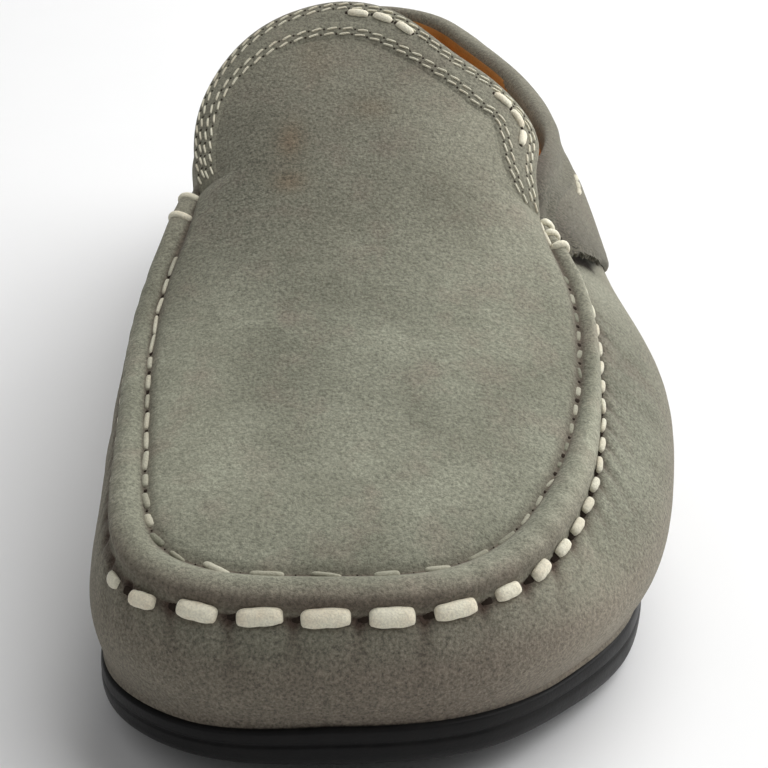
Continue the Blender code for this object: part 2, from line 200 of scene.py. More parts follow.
# Strip round the quarters: its lift off the wall at the lateral front, by the share of the way down it
SIDE_BAND_DEPTH = 23.0
SIDE_BAND_THICKNESS = 1.6
SIDE_BAND_FRONT_DEPTH = 10.5
SIDE_BAND_DEPTH_RUN = 40.0
SIDE_BAND_SLANT = 5.5
SIDE_BAND_LATERAL_REACH = 9.5
SIDE_BAND_MEDIAL_REACH = 4.0
SIDE_BAND_LATERAL_LIFT = 1.8
SIDE_BAND_LIFT_RUN = 26.0
SIDE_BAND_LIFT = ((0.0, 0.25), (0.3, 1.0), (0.8, 1.0), (1.0, 0.8))
SIDE_BAND_TOP = 0.6
SIDE_BAND_FOOT_ROUND = (0.45, 0.0, 0.9)
SIDE_BAND_FRONT_ROUND = (0.4, 0.0, 1.5)
SIDE_BAND_WAIST = (0.5, 0.0, 2.0)
SIDE_BAND_SEAT = 0.08
SIDE_DENT_WIDTH = 0.6
FRAY = 0.45

# The collar's section above the foot that it shares with the side band: outward from the inside of the wall,
# above its edge, and how much of the slimming at its lateral front it takes
COLLAR = (
    (4.0, 2.0, 0.9),
    (4.2, 4.8, 1.0),
    (3.3, 7.8, 0.9),
    (0.9, 9.4, 0.5),
    (-1.6, 7.9, 0.0),
    (-2.5, 4.9, 0.0),
    (-2.0, 2.1, 0.0),
    (-0.3, -0.6, 0.0),
)
COLLAR_SLIM = (2.8, 42.0, 24.0)
COLLAR_TIP = 0.5
COLLAR_START = 5.0
COLLAR_LATERAL_RUN_OUT = 14.0
COLLAR_MEDIAL_RUN_OUT = 34.0
COLLAR_REACH = 1.5

# Shallow gathers round the collar: depth, wavelength, how they sway and over what length, and their spells
GATHER = 0.025
GATHER_LENGTH = 2.9
GATHER_SWAY = 1.3
GATHER_SWAY_LENGTH = 11.0
GATHER_SPELL = 37.0

# Where the collar turns from suede to lining: past its front ends, over this run, from this share of its
# section
LINED_PAST_LATERAL = 66.0
LINED_PAST_MEDIAL = 14.0
LINED_RUN = 40.0
LINED_FROM = 0.5

# Hand stitches of the toe seam, longer round the toe than along the sides, by distance from the toe: their
# pitch; the share of it that shows, their width, and how square their ends are
PITCH = ((0, 10.3), (14, 9.9), (22, 9.0), (32, 6.9), (44, 5.8), (60, 5.4), (150, 5.4))
STITCH_SHAPES = (
    (0, 0.76, 3.4, 2.5),
    (22, 0.76, 3.2, 2.5),
    (34, 0.7, 2.6, 2.2),
    (46, 0.7, 2.0, 1.9),
    (62, 0.72, 1.45, 1.7),
    (80, 0.74, 1.1, 1.6),
    (150, 0.74, 1.0, 1.6),
)
SEAM_STITCHES_END = 118.0
HAND_SPREAD = 0.06
HAND_SLANT = 0.09
PLY_DEPTH = 0.06
STITCH_SINK = 0.5
STITCH_TIP = 0.03
HOLE_LENGTH = 1.3
HOLE_STAND = 0.35

# The bold row outside the ridge: its sink into the wall by distance along the medial side, and the size of
# its holes
BOLD_THICKNESS = 2.2
BOLD_FLATNESS = 0.7
BOLD_STAND = 0.5
BOLD_LATERAL = (30, 25)
BOLD_LATERAL_STAND = 0.55
# Painted shade that dims the bold stitches along the lateral side
BOLD_LATERAL_PAINTED_SHADE = 0.3
BOLD_GRIME = (0.62, -46.0, 8.0)
BOLD_DROP = (1.9, -38.0, 11.0)
BOLD_SINK = ((34, 0.0), (44, 1.6), (51, 1.6), (58, 0.7), (66, 0.5), (150, 0.4))
BOLD_HOLES = ((30, 1.5), (60, 0.8))
WALL_ABOUT = 3

# The half-hidden row inside the ridge, by distance along the seam: share of the pitch that shows, width and
# painted shade that darkens its thread
INNER_SHARES = ((-60, 0.82), (-40, 0.55))
INNER_WIDTHS = ((-100, 0.95), (-50, 1.2))
INNER_PAINTED_SHADE = ((-130, 0.46), (-60, 0.52), (-40, 0.72), (30, 0.8), (150, 0.86))
INNER_THICKNESS = 0.9
INNER_SQUARE = 2.4
INNER_SPREAD = 0.14
INNER_STAND = 0.1
INNER_LATERAL = (20, 30)
INNER_LATERAL_SINK = 0.3
INNER_HOLES = ((35, 0.3), (60, 0.9))
INNER_HOLE_SPREAD = (0.45, 0.95)

# Wraps round the two ends of the ridge, by distance from the end, and the legs between the lateral ones
LATERAL_WRAPS = np.array((0.8, 4.2, 8.6))
MEDIAL_WRAPS = np.array((1.0, 7.8))
WRAP_SKIP = 4
WRAP_STAND = 0.35
WRAP_LEAN = 0.6
WRAP_WIDTH = 1.7
WRAP_THICKNESS = 1.3
WRAP_SQUARE = 6.0
WRAP_TURNS = 2.0
MEDIAL_WRAP_STAND = -0.05
MEDIAL_WRAP_GRIME = 0.12
LEG_WIDTH = 0.9
LEG_GRIME = 0.25

# Fine machine stitches: distances of the rows from the edge or from the line that they follow
FINE_PITCH = 3.2
FINE_LENGTH = 2.2
FINE_WIDTH = 0.46
FINE_SQUARE = 3.0
FINE_STAND = 0.25
FINE_FIRST = 2.0
FINE_LAST = 1.5
FINE_CORD = {"slant": 0.2, "steps": 6, "plies": 2, "sides": 8, "grime": 0.2}
FINE_HOLE = 0.5
FINE_HOLE_CORD = {"steps": 4, "sides": 8}
UPPER_ROWS = (1.1, 2.25)
LOWER_ROWS = (-0.6, 0.6)
SIDE_ROWS = (1.6, 2.8)
SIDE_ROWS_FIRST = 14

# The thick stitches of the throat: share of the way from its lateral end, and how far in from its edge
THICK_STITCHES = ((0.145, 5.4), (0.188, 5.4), (0.231, 4.7), (0.441, 3.2), (0.484, 3.3), (0.527, 3.6))
THICK_LENGTH = 4.4
THICK_WIDTH = 1.8
THICK_THICKNESS = 1.3
THICK_SQUARE = 1.7
THICK_STAND = 0.2
THICK_HOLE = 0.8

# The three stitches on the lateral quarter: how far behind the seam's end, how far below the edge at either
# end
FLAP_STITCHES = (31.5, 36.0, 40.5)
FLAP_STITCH_INSETS = (2.7, 0.2)
FLAP_STITCH_LENGTH = 4.0
FLAP_STITCH_WIDTH = 1.25
# Painted shade dims the three stitches
FLAP_STITCH_PAINTED_SHADE = 0.3

# Puckers below the holes of the toe seam
PUCKER_DEPTH = 0.7
PUCKER_WIDTH = 0.8
PUCKER_WIDENING = 0.1
PUCKER_REACH = (2.0, 4.5)
PUCKER_LEAN = 0.6
PUCKER_LEAN_RUN = 40
PINCH = 0.1
PINCH_WIDTH = 1.6

# Folds of the wall: place along the seam, how far below it they start and end, lean, depth, width
WALL_FOLDS = (
    (89.0, 1.0, 16.0, 0.1, 0.25, 2.0),
    (99.0, 3.0, 22.0, -0.25, 0.2, 2.6),
    (76.0, 4.0, 20.0, 0.2, 0.15, 2.4),
    (-84.0, 2.0, 18.0, 0.1, 0.35, 2.0),
    (-95.0, 3.0, 20.0, -0.1, 0.3, 2.2),
)
FOLD_SHOULDER = 0.5

# Spots of the plug: x, y, reach across and along, and the depth of a dent, lift of the pile with painted
# light and shade, or strength of a stain
PLUG_DENTS = (
    (13.0, -72.0, 12.0, 5.0, 0.45),
    (-16.0, -66.0, 14.0, 5.0, 0.35),
    (2.0, -46.0, 18.0, 6.0, 0.3),
    (-24.0, -32.0, 9.0, 8.0, -0.7),
)
# Spots of painted light and shade on the plug, partly the lie of the pile
NAP_AND_PAINTED_LIGHT_SPOTS = (
    (-31.0, -85.0, 12.0, 30.0, 0.55),
    (0.0, -113.0, 32.0, 14.0, 0.25),
    (-20.0, -34.0, 14.0, 34.0, -0.36),
    (-17.0, -20.0, 10.0, 16.0, -0.14),
    (23.0, -76.0, 13.0, 22.0, 0.17),
    (18.0, -24.0, 10.0, 16.0, 0.14),
    (2.0, -28.0, 12.0, 22.0, -0.25),
    (-25.0, -43.0, 8.0, 12.0, -0.3),
)
STAINS = (
    (-14.0, -27.0, 2.4, 4.0, 0.32),
    (-13.8, -36.5, 3.0, 2.3, 0.3),
    (-10.0, -9.0, 4.0, 5.0, 0.1),
    (2.0, -20.0, 4.0, 2.5, 0.15),
)

# Painted light and shade, partly the lie of the pile: lighter and darker along the wall, a painted highlight
# on the ridge by side and by the share of the way across, and darker on the bands, as painted shade on the
# side band and collar
WALL_PAINTED_LIGHT = ((0.5, 43.0, 13.0), (-0.38, -5.0, TOE_REACH), (-0.3, 95.0, 38.0))
RIDGE_LATERAL_HIGHLIGHT = 0.5
RIDGE_MEDIAL_HIGHLIGHT = 0.22
RIDGE_HIGHLIGHT_RUN = 60
RIDGE_HIGHLIGHT = (1.0, 0.45, 0.3)
THROAT_BAND_NAP = -0.1
SIDE_BAND_PAINTED_SHADE = (-1.0, 0.0, 45.0)
COLLAR_PAINTED_SHADE = ((-0.5, 0.0, 120.0), (-0.45, 0.0, 45.0))
NAP_AND_PAINTED_LIGHT_SHARE = 0.5

# Shade in creases: in the grooves of the seam, under the ridge at the toe, over the sole, under the flap's
# front, under the tongue's edge, and over the front of the collar by the share of the way round its section
GROOVE_SHADE = 0.75
GROOVE_REACH = 1.5
GROOVE_SHARE = 0.05
GROOVE_FADE = 14.0
PUCKER_SHADE = 0.9
FOLD_SHADE = 0.5
RIDGE_SHADE = (0.65, 0.13, 0.16)
FOOT_SHADE = (0.35, 0.0, 6.0)
FLAP_SHADE = 2
FLAP_FRONT = 9.0
FLAP_LEAN = 0.5
TUCK_SHADE = (0.8, 0.0, 8.0)
COLLAR_SHADE = (0.85, 18.0, 24.0)
COLLAR_SHADED = (0.17, 0.2)

# Wear that browns the suede: up the tongue, on the walls, and at the toe on the ridge and on the wall
TONGUE_WORN = 0.35
TONGUE = (-70.0, 60.0)
FACING_UP = (0.2, 0.5)
WALL_WORN = 0.72
RIDGE_WORN = (0.7, 0.25, 0.3)
TOE_WORN = (0.25, 20.0, 25.0)
CORNER_REACH = 14.0

# Mesh density
FRONT_STEPS = 36
REAR_STEPS = 14
ROUND_STEPS = 20
TANGENT_STEP = 0.5
WALL_STEPS = 28
WALL_CROWDING = 1.5
RIDGE_STEPS = 18
PLUG_RINGS = 22
PLUG_RINGS_END = 0.5
PLUG_CROWDING = 1.35
CAP_STEPS = 26
THROAT_STEPS = 120
THROAT_BAND_ROWS = 18
SIDE_BAND_ROWS = 26
SIDE_BAND_FINE = 60
COLLAR_STEPS = 240
COLLAR_SIDES = 41
SOLE_SIDE_STEPS = 44
SHARP_ANGLE = math.radians(50)

# Colours: suede brushed light, brushed dark and worn brown, then the others from dark to light or clean to
# dirty
SUEDE_COLOURS = ((0.285, 0.288, 0.222), (0.205, 0.205, 0.155), (0.25, 0.215, 0.17))
SUEDE_SHEEN = (0.85, 0.84, 0.74)
# Painted shade: the brown mixed in at folds and grooves and under other pieces
PAINTED_SHADE_BROWN = (0.09, 0.064, 0.05)
RUST = (0.24, 0.12, 0.05)
LINING_COLOURS = ((0.48, 0.24, 0.07), (0.64, 0.33, 0.1))
RUBBER_COLOURS = ((0.005, 0.0048, 0.005), (0.013, 0.012, 0.0115))
# Thread: clean, waxed, and the dark olive for dirt and painted shade
THREAD_COLOURS = ((0.88, 0.84, 0.67), (0.76, 0.65, 0.48), (0.19, 0.19, 0.13))
# Painted shade, near black, in the needle holes and under the side band
HOLE_COLOURS = ((0.018, 0.013, 0.01), (0.05, 0.037, 0.028))
FLOOR_COLOURS = ((0.85, 0.85, 0.85), (0.88, 0.88, 0.88))

# Camera of the photograph in metres and degrees; lights by direction, distance, size and power
CAMERA_ANGLES = (1.0, 25.4, -0.7)
CAMERA_PLACE = (0.0035, -0.3927, 0.196)
CAMERA_LENS = 89.86
CAMERA_NEAR = 0.01
KEY_LIGHT = ((0.6, 0.35, 0.75), 1.1, 1.7, 27.0)
FILL_LIGHT = ((-0.5, -0.3, 0.8), 1.2, 1.2, 2.0)
WORLD_LIGHT = 0.15
FLOOR_REACH = 3.0


def ease(knots, values, at):
    """A smooth curve through a column that never overshoots its rows."""
    step = np.diff(knots)
    slope = np.diff(values) / step
    before, after = slope[:-1], slope[1:]
    same_way = before * after > 0
    middle = np.where(same_way, 2 * before * after / np.where(same_way, before + after, 1), 0)
    tangent = np.concatenate([slope[:1], middle, slope[-1:]])
    at = np.clip(at, knots[0], knots[-1])
    row = np.clip(np.searchsorted(knots, at, side="right") - 1, 0, len(step) - 1)
    t = (at - knots[row]) / step[row]
    start = (1 + 2 * t) * (1 - t) ** 2 * values[row] + t * (1 - t) ** 2 * step[row] * tangent[row]
    end = t**2 * (3 - 2 * t) * values[row + 1] + t**2 * (t - 1) * step[row] * tangent[row + 1]
    return start + end


def curves(rows, at):
    """Each further column of a table as a smooth curve over its first."""
    knots, *values = np.array(rows, float).T
    return [ease(knots, column, at) for column in values]


def read(rows, at):
    """The second column of a table as a smooth curve over its first."""
    return curves(rows, at)[0]


def straight(rows, at):
    """The second column of a table in straight lines over its first."""
    return np.interp(at, *np.array(rows, float).T)


def bell(distance, width):
    """1 at no distance, falling softly to 0 over about twice the width."""
    return np.exp(-((distance / width) ** 2))


def bump(at, strength, middle, reach):
    """A soft bump along something."""
    return strength * bell(at - middle, reach)


def ramp(at, start, run):
    """0 up to the start, then rising evenly to 1 over the run."""
    return np.clip((at - start) / run, 0, 1)


def unit(vectors):
    """Directions of vectors."""
    return vectors / np.linalg.norm(vectors, axis=-1, keepdims=True)


def spline(knots, values, at, closed):
    """A cubic spline through rows of values; a closed one ends on its first row and runs round."""
    step = np.diff(knots)
    slope = np.diff(values, axis=0) / step[:, None]
    system = np.eye(len(knots))
    change = np.zeros_like(values)
    for i in range(1, len(knots) - 1):
        system[i, i - 1 : i + 2] = step[i - 1], 2 * (step[i - 1] + step[i]), step[i]
        change[i] = 6 * (slope[i] - slope[i - 1])
    if closed:
        system[0, -1] = -1
        system[-1, [-2, -1, 1]] = step[-1], 2 * (step[-1] + step[0]), step[0]
        change[-1] = 6 * (slope[0] - slope[-1])
        at = np.mod(at, knots[-1])
    bend = np.linalg.solve(system, change)
    row = np.clip(np.searchsorted(knots, at, side="right") - 1, 0, len(step) - 1)
    a = ((knots[row + 1] - at) / step[row])[:, None]
    b = 1 - a
    curve = ((a**3 - a) * bend[row] + (b**3 - b) * bend[row + 1]) * step[row][:, None] ** 2 / 6
    return a * values[row] + b * values[row + 1] + curve


def run_length(points):
    """Distance along a line of points to each of them."""
    return np.concatenate([[0], np.cumsum(np.linalg.norm(np.diff(points, axis=0), axis=1))])


def along_line(line, at):
    """Rows of a line of points, read at distances along it."""
    length = run_length(line[:, :3])
    return np.column_stack([np.interp(at, length, axis) for axis in line.T])


RIB_LOOP = np.array(RIBS + RIBS[:1])
RIB_PLACES = run_length((RIB_LOOP[:, 0:2] + RIB_LOOP[:, 2:4]) / 2)
ROUND = RIB_PLACES[-1]


def places_between(first, last, per_rib):
    """Places round the last from one rib to another, so many steps to each rib."""
    share = np.linspace(first, last, (last - first) * per_rib + 1)
    turns = np.floor_divide(share, len(RIBS))
    return np.interp(share - turns * len(RIBS), np.arange(len(RIBS) + 1), RIB_PLACES) + turns * ROUND


def ribs_at(places):
    """Feather, top, bulge and outward direction in plan of the last at places round it."""
    rib = spline(RIB_PLACES, RIB_LOOP, places, closed=True)
    ahead = spline(RIB_PLACES, RIB_LOOP, places + TANGENT_STEP, closed=True)
    behind = spline(RIB_PLACES, RIB_LOOP, places - TANGENT_STEP, closed=True)
    tangent = unit((ahead - behind)[:, 0:2] + (ahead - behind)[:, 2:4])
    outward = np.column_stack([tangent[:, 1], -tangent[:, 0], np.zeros(len(places))])
    feather = np.column_stack([rib[:, 0:2], read(FEATHER, rib[:, 1])])
    return feather, rib[:, 2:5], rib[:, 5:6], outward


FRONT = places_between(MEDIAL_CORNER - len(RIBS), LATERAL_CORNER, FRONT_STEPS)
REAR = places_between(LATERAL_CORNER, MEDIAL_CORNER, REAR_STEPS)
PAST_LATERAL, PAST_MEDIAL = REAR - REAR[0], REAR[-1] - REAR
ALL_ROUND = places_between(0, len(RIBS), ROUND_STEPS)[:-1]
SEAM_RUN = run_length(ribs_at(FRONT)[1])
ALONG = SEAM_RUN - SEAM_RUN[len(FRONT) // 2]
WALL_SHARES = 1 - (1 - np.linspace(0, 1, WALL_STEPS + 1)) ** WALL_CROWDING
SEAM_ROW = len(WALL_SHARES)


def wall_rows(places, shares):
    """The inside of the wall: its foot on the sole, then a row at each share of the way up to its top."""
    feather, top, bulge, outward = ribs_at(places)
    seat = feather + (0, 0, SEAT_HEIGHT)
    rows = [feather]
    for share in shares:
        rows.append(seat * (1 - share) + top * share + outward * bulge * np.sin(np.pi * share**BULGE_SKEW))
    return np.array(rows)


def ridge_rows(places, shares):
    """The inside of the toe seam at each share of the way across it."""
    _, top, _, outward = ribs_at(places)
    across = (0, 0, RIDGE_RISE) - outward * read(RIDGE_WIDTH, places)[:, None]
    return np.array([top + across * share for share in shares])


def crest_height(x, y):
    """Height of the inside of the plug and instep."""
    middle, height, fall, power = curves(CREST, y)
    return height - fall * np.abs((x - middle) / CREST_REACH) ** power


def throat_edge(seam, shares):
    """The throat's edge at shares of the way between the two ends of the seam."""
    plan = np.vstack([seam[0, :2], np.array(THROAT), seam[-1, :2]])
    length = run_length(plan)
    points = spline(length, plan, shares * length[-1], closed=False)
    height = crest_height(points[:, 0], points[:, 1])
    for end, near in ((seam[0], 1 - shares), (seam[-1], shares)):
        height += (end[2] - crest_height(*end[:2])) * near**THROAT_CORNER_POWER
    return np.column_stack([points, height])


def plug_edge(places):
    """The closed edge of the plug: the seam from toe to lateral corner, the throat, the seam back."""
    seam = ridge_rows(places, (1.0,))[0]
    throat = throat_edge(seam, np.linspace(1, 0, THROAT_STEPS + 1))
    toe = len(seam) // 2
    return np.vstack([seam[toe:], throat[1:-1], seam[:toe]])


def plug_row(edge, share):
    """The inside of the plug at a share of the way from its edge to its spine."""
    spine = np.column_stack([np.full(len(edge), SPINE_X), np.clip(edge[:, 1], SPINE_FRONT, SPINE_BACK)])
    plan = edge[:, :2] * (1 - share) + spine * share
    height = crest_height(plan[:, 0], plan[:, 1])
    off_crest = edge[:, 2] - crest_height(edge[:, 0], edge[:, 1])
    height += off_crest * np.clip(1 - share / PLUG_RINGS_END, 0, 1) ** 2
    return np.column_stack([plan, height])


def carrying(rows, *values):
    """Rows of points with a further column for each value that they carry."""
    return np.dstack([rows] + [np.broadcast_to(value, rows.shape[:2]) for value in values])


def grid(rows, closed=False):
    """Points of a sheet given as rows, and its faces; the first row is on the right of the way along it."""
    rows = np.asarray(rows, float)
    number = np.arange(rows.shape[0] * rows.shape[1]).reshape(rows.shape[:2])
    if closed:
        number = np.hstack([number, number[:, :1]])
    corners = (number[:-1, :-1], number[:-1, 1:], number[1:, 1:], number[1:, :-1])
    return rows.reshape(-1, rows.shape[2]), np.stack(corners, axis=-1).reshape(-1, 4)


def bridged(ring):
    """Rows across a closed ring, from its first point to the one opposite."""
    shares = np.linspace(0, 1, CAP_STEPS + 1)[:, None]
    return np.array([ring[-i] * (1 - shares) + ring[i] * shares for i in range(len(ring) // 2 + 1)])


def joined(sheets):
    """Several (points, faces) as one."""
    firsts = np.cumsum([0] + [len(points) for points, _ in sheets])
    faces = [numbers + first for (_, numbers), first in zip(sheets, firsts)]
    return np.vstack([points for points, _ in sheets]), np.vstack(faces)


def welded(points, faces):
    """Points at one place made one; also the new number of each old point."""
    places = np.round(points[:, :3] / WELD)
    _, kept, number = np.unique(places, axis=0, return_index=True, return_inverse=True)
    number = number.reshape(-1)
    faces = number[faces]
    whole = [len(set(face)) > 2 for face in faces.tolist()]
    return points[kept], faces[whole], number


def normals_of(points, faces):
    """Direction that each point of a sheet faces."""
    a, b, c, d = (points[faces[:, k], :3] for k in range(4))
    facing = np.cross(c - a, d - b)
    total = np.zeros((len(points), 3))
    for k in range(4):
        np.add.at(total, faces[:, k], facing)
    return unit(total)


def sheet_normals(rows):
    """Outward direction of a sheet at each point of its rows."""
    return unit(np.cross(np.gradient(rows, axis=1), np.gradient(rows, axis=0)))


def shell(outer, inner, faces):
    """Outer sheet, inner sheet turned over and the rim between; also which of the three each face is."""
    count = len(outer)
    ends = np.concatenate([faces[:, [k, (k + 1) % 4]] for k in range(4)]).tolist()
    known = {(a, b) for a, b in ends}
    rim = [(b, a, a + count, b + count) for a, b in ends if a != b and (b, a) not in known]
    skin = np.vstack([faces, faces[:, ::-1] + count, rim])
    side = np.repeat([0, 1, 2], [len(faces), len(faces), len(rim)])
    return np.vstack([outer, inner]), skin, side


def thickened(rows, thickness, facing):
    """A skin on a sheet's rows, this thick on its outer side, and its outer rows."""
    points, faces = grid(rows)
    outer = points + facing.reshape(-1, 3) * np.broadcast_to(thickness, rows.shape[:2]).reshape(-1, 1)
    return shell(outer, points, faces), outer.reshape(rows.shape)


def down_columns(rows):
    """Distance down each column of a sheet's rows."""
    steps = np.linalg.norm(np.diff(rows, axis=0), axis=2)
    return np.vstack([np.zeros(rows.shape[1]), np.cumsum(steps, axis=0)])


def lines_at(outer, facing, down, at):
    """The line across a sheet's columns at this distance down each of them, and its normals."""
    both = np.dstack([outer, facing])
    at = np.broadcast_to(at, both.shape[1])
    found = [[np.interp(at[c], down[:, c], axis) for axis in both[:, c].T] for c in range(both.shape[1])]
    return np.array(found)[:, :3], np.array(found)[:, 3:]


def make(name, points, faces, materials, sides=None, marks=None, slot="", replaces=()):
    """A smooth piece in the frame from millimetre points; sides pick a material for each face."""
    mesh = bpy.data.meshes.new(name)
    places = (points[:, :3] - ORIGIN) * MM
    mesh.from_pydata(places.tolist(), [], [list(dict.fromkeys(face)) for face in faces.tolist()])
    for material in materials:
        mesh.materials.append(material)
    if sides is not None:
        mesh.polygons.foreach_set("material_index", np.minimum(sides, len(materials) - 1))
    for label, values in (marks or {}).items():
        mesh.attributes.new(label, "FLOAT", "POINT").data.foreach_set("value", np.asarray(values, np.float32))
    mesh.shade_smooth()
    mesh.set_sharp_from_angle(angle=SHARP_ANGLE)
    made = bpy.data.objects.new(name, mesh)
    bpy.context.scene.collection.objects.link(made)
    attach(made, "root")
    if replaces:
        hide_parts(*replaces)
    return made


def make_closed(name, rings, finish, slot, replaces):
    """A solid from rings stacked upwards, closed across its top and bottom."""
    bottom, turned = grid(bridged(rings[0]))
    parts = [grid(rings, closed=True), grid(bridged(rings[-1])), (bottom, turned[:, ::-1])]
    points, faces, _ = welded(*joined(parts))
    make(name, points, faces, (finish,), slot=slot, replaces=(replaces,))


def node(tree, kind, inputs=None, **settings):
    """A shader node with its settings, and each named input set to a value or linked to a socket."""
    made = tree.nodes.new(kind)
    for key, value in settings.items():
        setattr(made, key, value)
    for key, value in (inputs or {}).items():
        if isinstance(value, bpy.types.NodeSocket):
            tree.links.new(value, made.inputs[key])
        else:
            made.inputs[key].default_value = value
    return made


def surface(name, **values):
    """A material, its node tree, its shader with these values set, and the piece's own coordinates."""
    made = bpy.data.materials.new(name)
    made.use_nodes = True
    shader = made.node_tree.nodes["Principled BSDF"]
    for key, value in values.items():
        shader.inputs[key.replace("_", " ").title().replace("Ior", "IOR")].default_value = value
    return made, made.node_tree, shader, node(made.node_tree, "ShaderNodeTexCoord").outputs["Object"]


def link(tree, shader, base, relief):
    """Gives a shader its colour and its relief."""
    tree.links.new(base, shader.inputs["Base Color"])
    tree.links.new(relief, shader.inputs["Normal"])


def noise(tree, place, size, detail=2.0, roughness=0.5):
    """Noise whose lumps are about this many millimetres across."""
    inputs = {"Vector": place, "Scale": 1 / (size * MM), "Detail": detail, "Roughness": roughness}
    return node(tree, "ShaderNodeTexNoise", inputs).outputs["Fac"]


def spread(tree, value, low, high, to_low, to_high):
    """A value from one range stretched over another and held there."""
    inputs = {"Value": value, "From Min": low, "From Max": high, "To Min": to_low, "To Max": to_high}
    return node(tree, "ShaderNodeMapRange", inputs).outputs["Result"]


def mixed(tree, share, first, second):
    """A colour between two, by a share."""
    inputs = {0: share, 6: first, 7: second}
    return node(tree, "ShaderNodeMix", inputs, data_type="RGBA").outputs[2]


def scaled(tree, base, factor):
    """A colour made lighter or darker."""
    return node(tree, "ShaderNodeVectorMath", {0: base, "Scale": factor}, operation="SCALE").outputs["Vector"]


def bumped(tree, height, depth, below=None):
    """Bumps this many millimetres deep, over those below."""
    inputs = {"Height": height, "Distance": depth * MM, "Strength": 1.0}
    if below:
        inputs["Normal"] = below
    return node(tree, "ShaderNodeBump", inputs).outputs["Normal"]


def mark(tree, name):
    """A number that the piece's points carry."""
    return node(tree, "ShaderNodeAttribute", attribute_name=name).outputs["Fac"]


def colour(red, green, blue):
    """An opaque colour."""
    return (red, green, blue, 1.0)


def colours(rows, tone=1.0):
    """Opaque colours, made lighter or darker by a tone."""
    return [colour(*(np.array(row) * tone)) for row in rows]


def suede_material(name, tone, worn=0.0):
    """Napped suede: speckled pile, blotches of lighter and darker pile, painted brown shade in folds, grooves
    and under other pieces, rust-coloured stains, and painted light and shade, partly the lie of the pile.
    """
    sheen = {"sheen_weight": 0.2, "sheen_roughness": 0.45, "sheen_tint": colour(*SUEDE_SHEEN)}
    made, tree, shader, place = surface(name, roughness=0.95, specular_ior_level=0.15, **sheen)
    light, dark, brown = colours(SUEDE_COLOURS, tone)
    blotch = spread(tree, noise(tree, place, 24, 4.0, 0.6), 0.36, 0.66, 0.0, 1.0)
    browned = node(tree, "ShaderNodeMath", {0: mark(tree, "worn"), 1: worn}, operation="ADD").outputs["Value"]
    warm = spread(tree, noise(tree, place, 9, 3.0, 0.6), 0.52, 0.74, 0.0, 0.55)
    pile = noise(tree, place, 0.58, 3.0, 0.75)
    ground = mixed(tree, blotch, dark, light)
    ground = mixed(tree, browned, ground, brown)
    ground = mixed(tree, warm, ground, brown)
    ground = mixed(tree, mark(tree, "stain"), ground, colour(*RUST))
    # Painted shade: brown mixed in where the points carry it, in grooves, puckers and folds, and under the
    # flap, the tongue and the ridge
    ground = mixed(tree, mark(tree, "painted_shade"), ground, colour(*PAINTED_SHADE_BROWN))
    # Painted light and shade, partly the lie of the pile: the points' mark makes the speckled pile lighter or
    # darker
    pile_and_painted_light = {0: mark(tree, "nap_and_painted_light"), 1: NAP_AND_PAINTED_LIGHT_SHARE, 2: spread(tree, pile, 0.3, 0.7, 0.55, 1.4)}
    pile_and_painted_light = node(tree, "ShaderNodeMath", pile_and_painted_light, operation="MULTIPLY_ADD").outputs["Value"]
    relief = bumped(tree, noise(tree, place, 7, 3.0), 0.35)
    relief = bumped(tree, noise(tree, place, 1.6, 2.0, 0.55), 0.22, relief)
    link(tree, shader, scaled(tree, ground, pile_and_painted_light), bumped(tree, pile, 0.2, relief))
    return made


def leather_material():
    """Smooth tan lining leather with fine pores."""
    made, tree, shader, place = surface("tan_lining", roughness=0.5)
    shade = spread(tree, noise(tree, place, 14, 4.0), 0.3, 0.7, 0.0, 1.0)
    pores = node(tree, "ShaderNodeTexVoronoi", {"Vector": place, "Scale": 1 / (0.8 * MM)}).outputs["Distance"]
    relief = bumped(tree, noise(tree, place, 5, 3.0), 0.12)
    link(tree, shader, mixed(tree, shade, *colours(LINING_COLOURS)), bumped(tree, pores, 0.08, relief))
    return made


def rubber_material():
    """Moulded black rubber, slightly dusty, with a fine matt texture."""
    made, tree, shader, place = surface("black_rubber_sole", specular_ior_level=0.15)
    dust = spread(tree, noise(tree, place, 12, 5.0, 0.65), 0.45, 0.75, 0.0, 1.0)
    tree.links.new(spread(tree, dust, 0.0, 1.0, 0.42, 0.62), shader.inputs["Roughness"])
    relief = bumped(tree, noise(tree, place, 0.5, 2.0), 0.05)
    link(tree, shader, mixed(tree, dust, *colours(RUBBER_COLOURS)), relief)
    return made


def thread_material():
    """Waxed off-white thread: fibres along it, dirt where they part, and darker towards dark olive where its
    points carry dirt and painted shade.
    """
    made, tree, shader, place = surface("cream_thread", roughness=0.7, sheen_weight=0.15)
    clean, waxed, dirty = colours(THREAD_COLOURS)
    fibre = noise(tree, place, 0.35, 3.0, 0.6)
    grime = spread(tree, noise(tree, place, 4, 3.0), 0.42, 0.7, 0.0, 0.6)
    # Dirt and painted shade: the points' mark darkens the thread towards dark olive
    ground = mixed(tree, mark(tree, "grime"), mixed(tree, grime, clean, waxed), dirty)
    fibred = scaled(tree, ground, spread(tree, fibre, 0.3, 0.7, 0.82, 1.12))
    link(tree, shader, fibred, bumped(tree, fibre, 0.12))
    return made


def hole_material():
    """Painted shade, near black with a frayed bump, in the needle holes and under the side band."""
    made, tree, shader, place = surface("needle_hole", roughness=0.95, specular_ior_level=0.1)
    shade = noise(tree, place, 0.4, 2.0)
    link(tree, shader, mixed(tree, shade, *colours(HOLE_COLOURS)), bumped(tree, shade, 0.1))
    return made


def seam_stitches():
    """Middles of the toe seam's stitches along it, to both sides of the toe."""
    middles = [0.0]
    while middles[-1] < SEAM_STITCHES_END:
        middles.append(middles[-1] + float(read(PITCH, middles[-1])))
    middles = np.array(middles[:-1])
    return np.concatenate([-middles[:0:-1], middles])


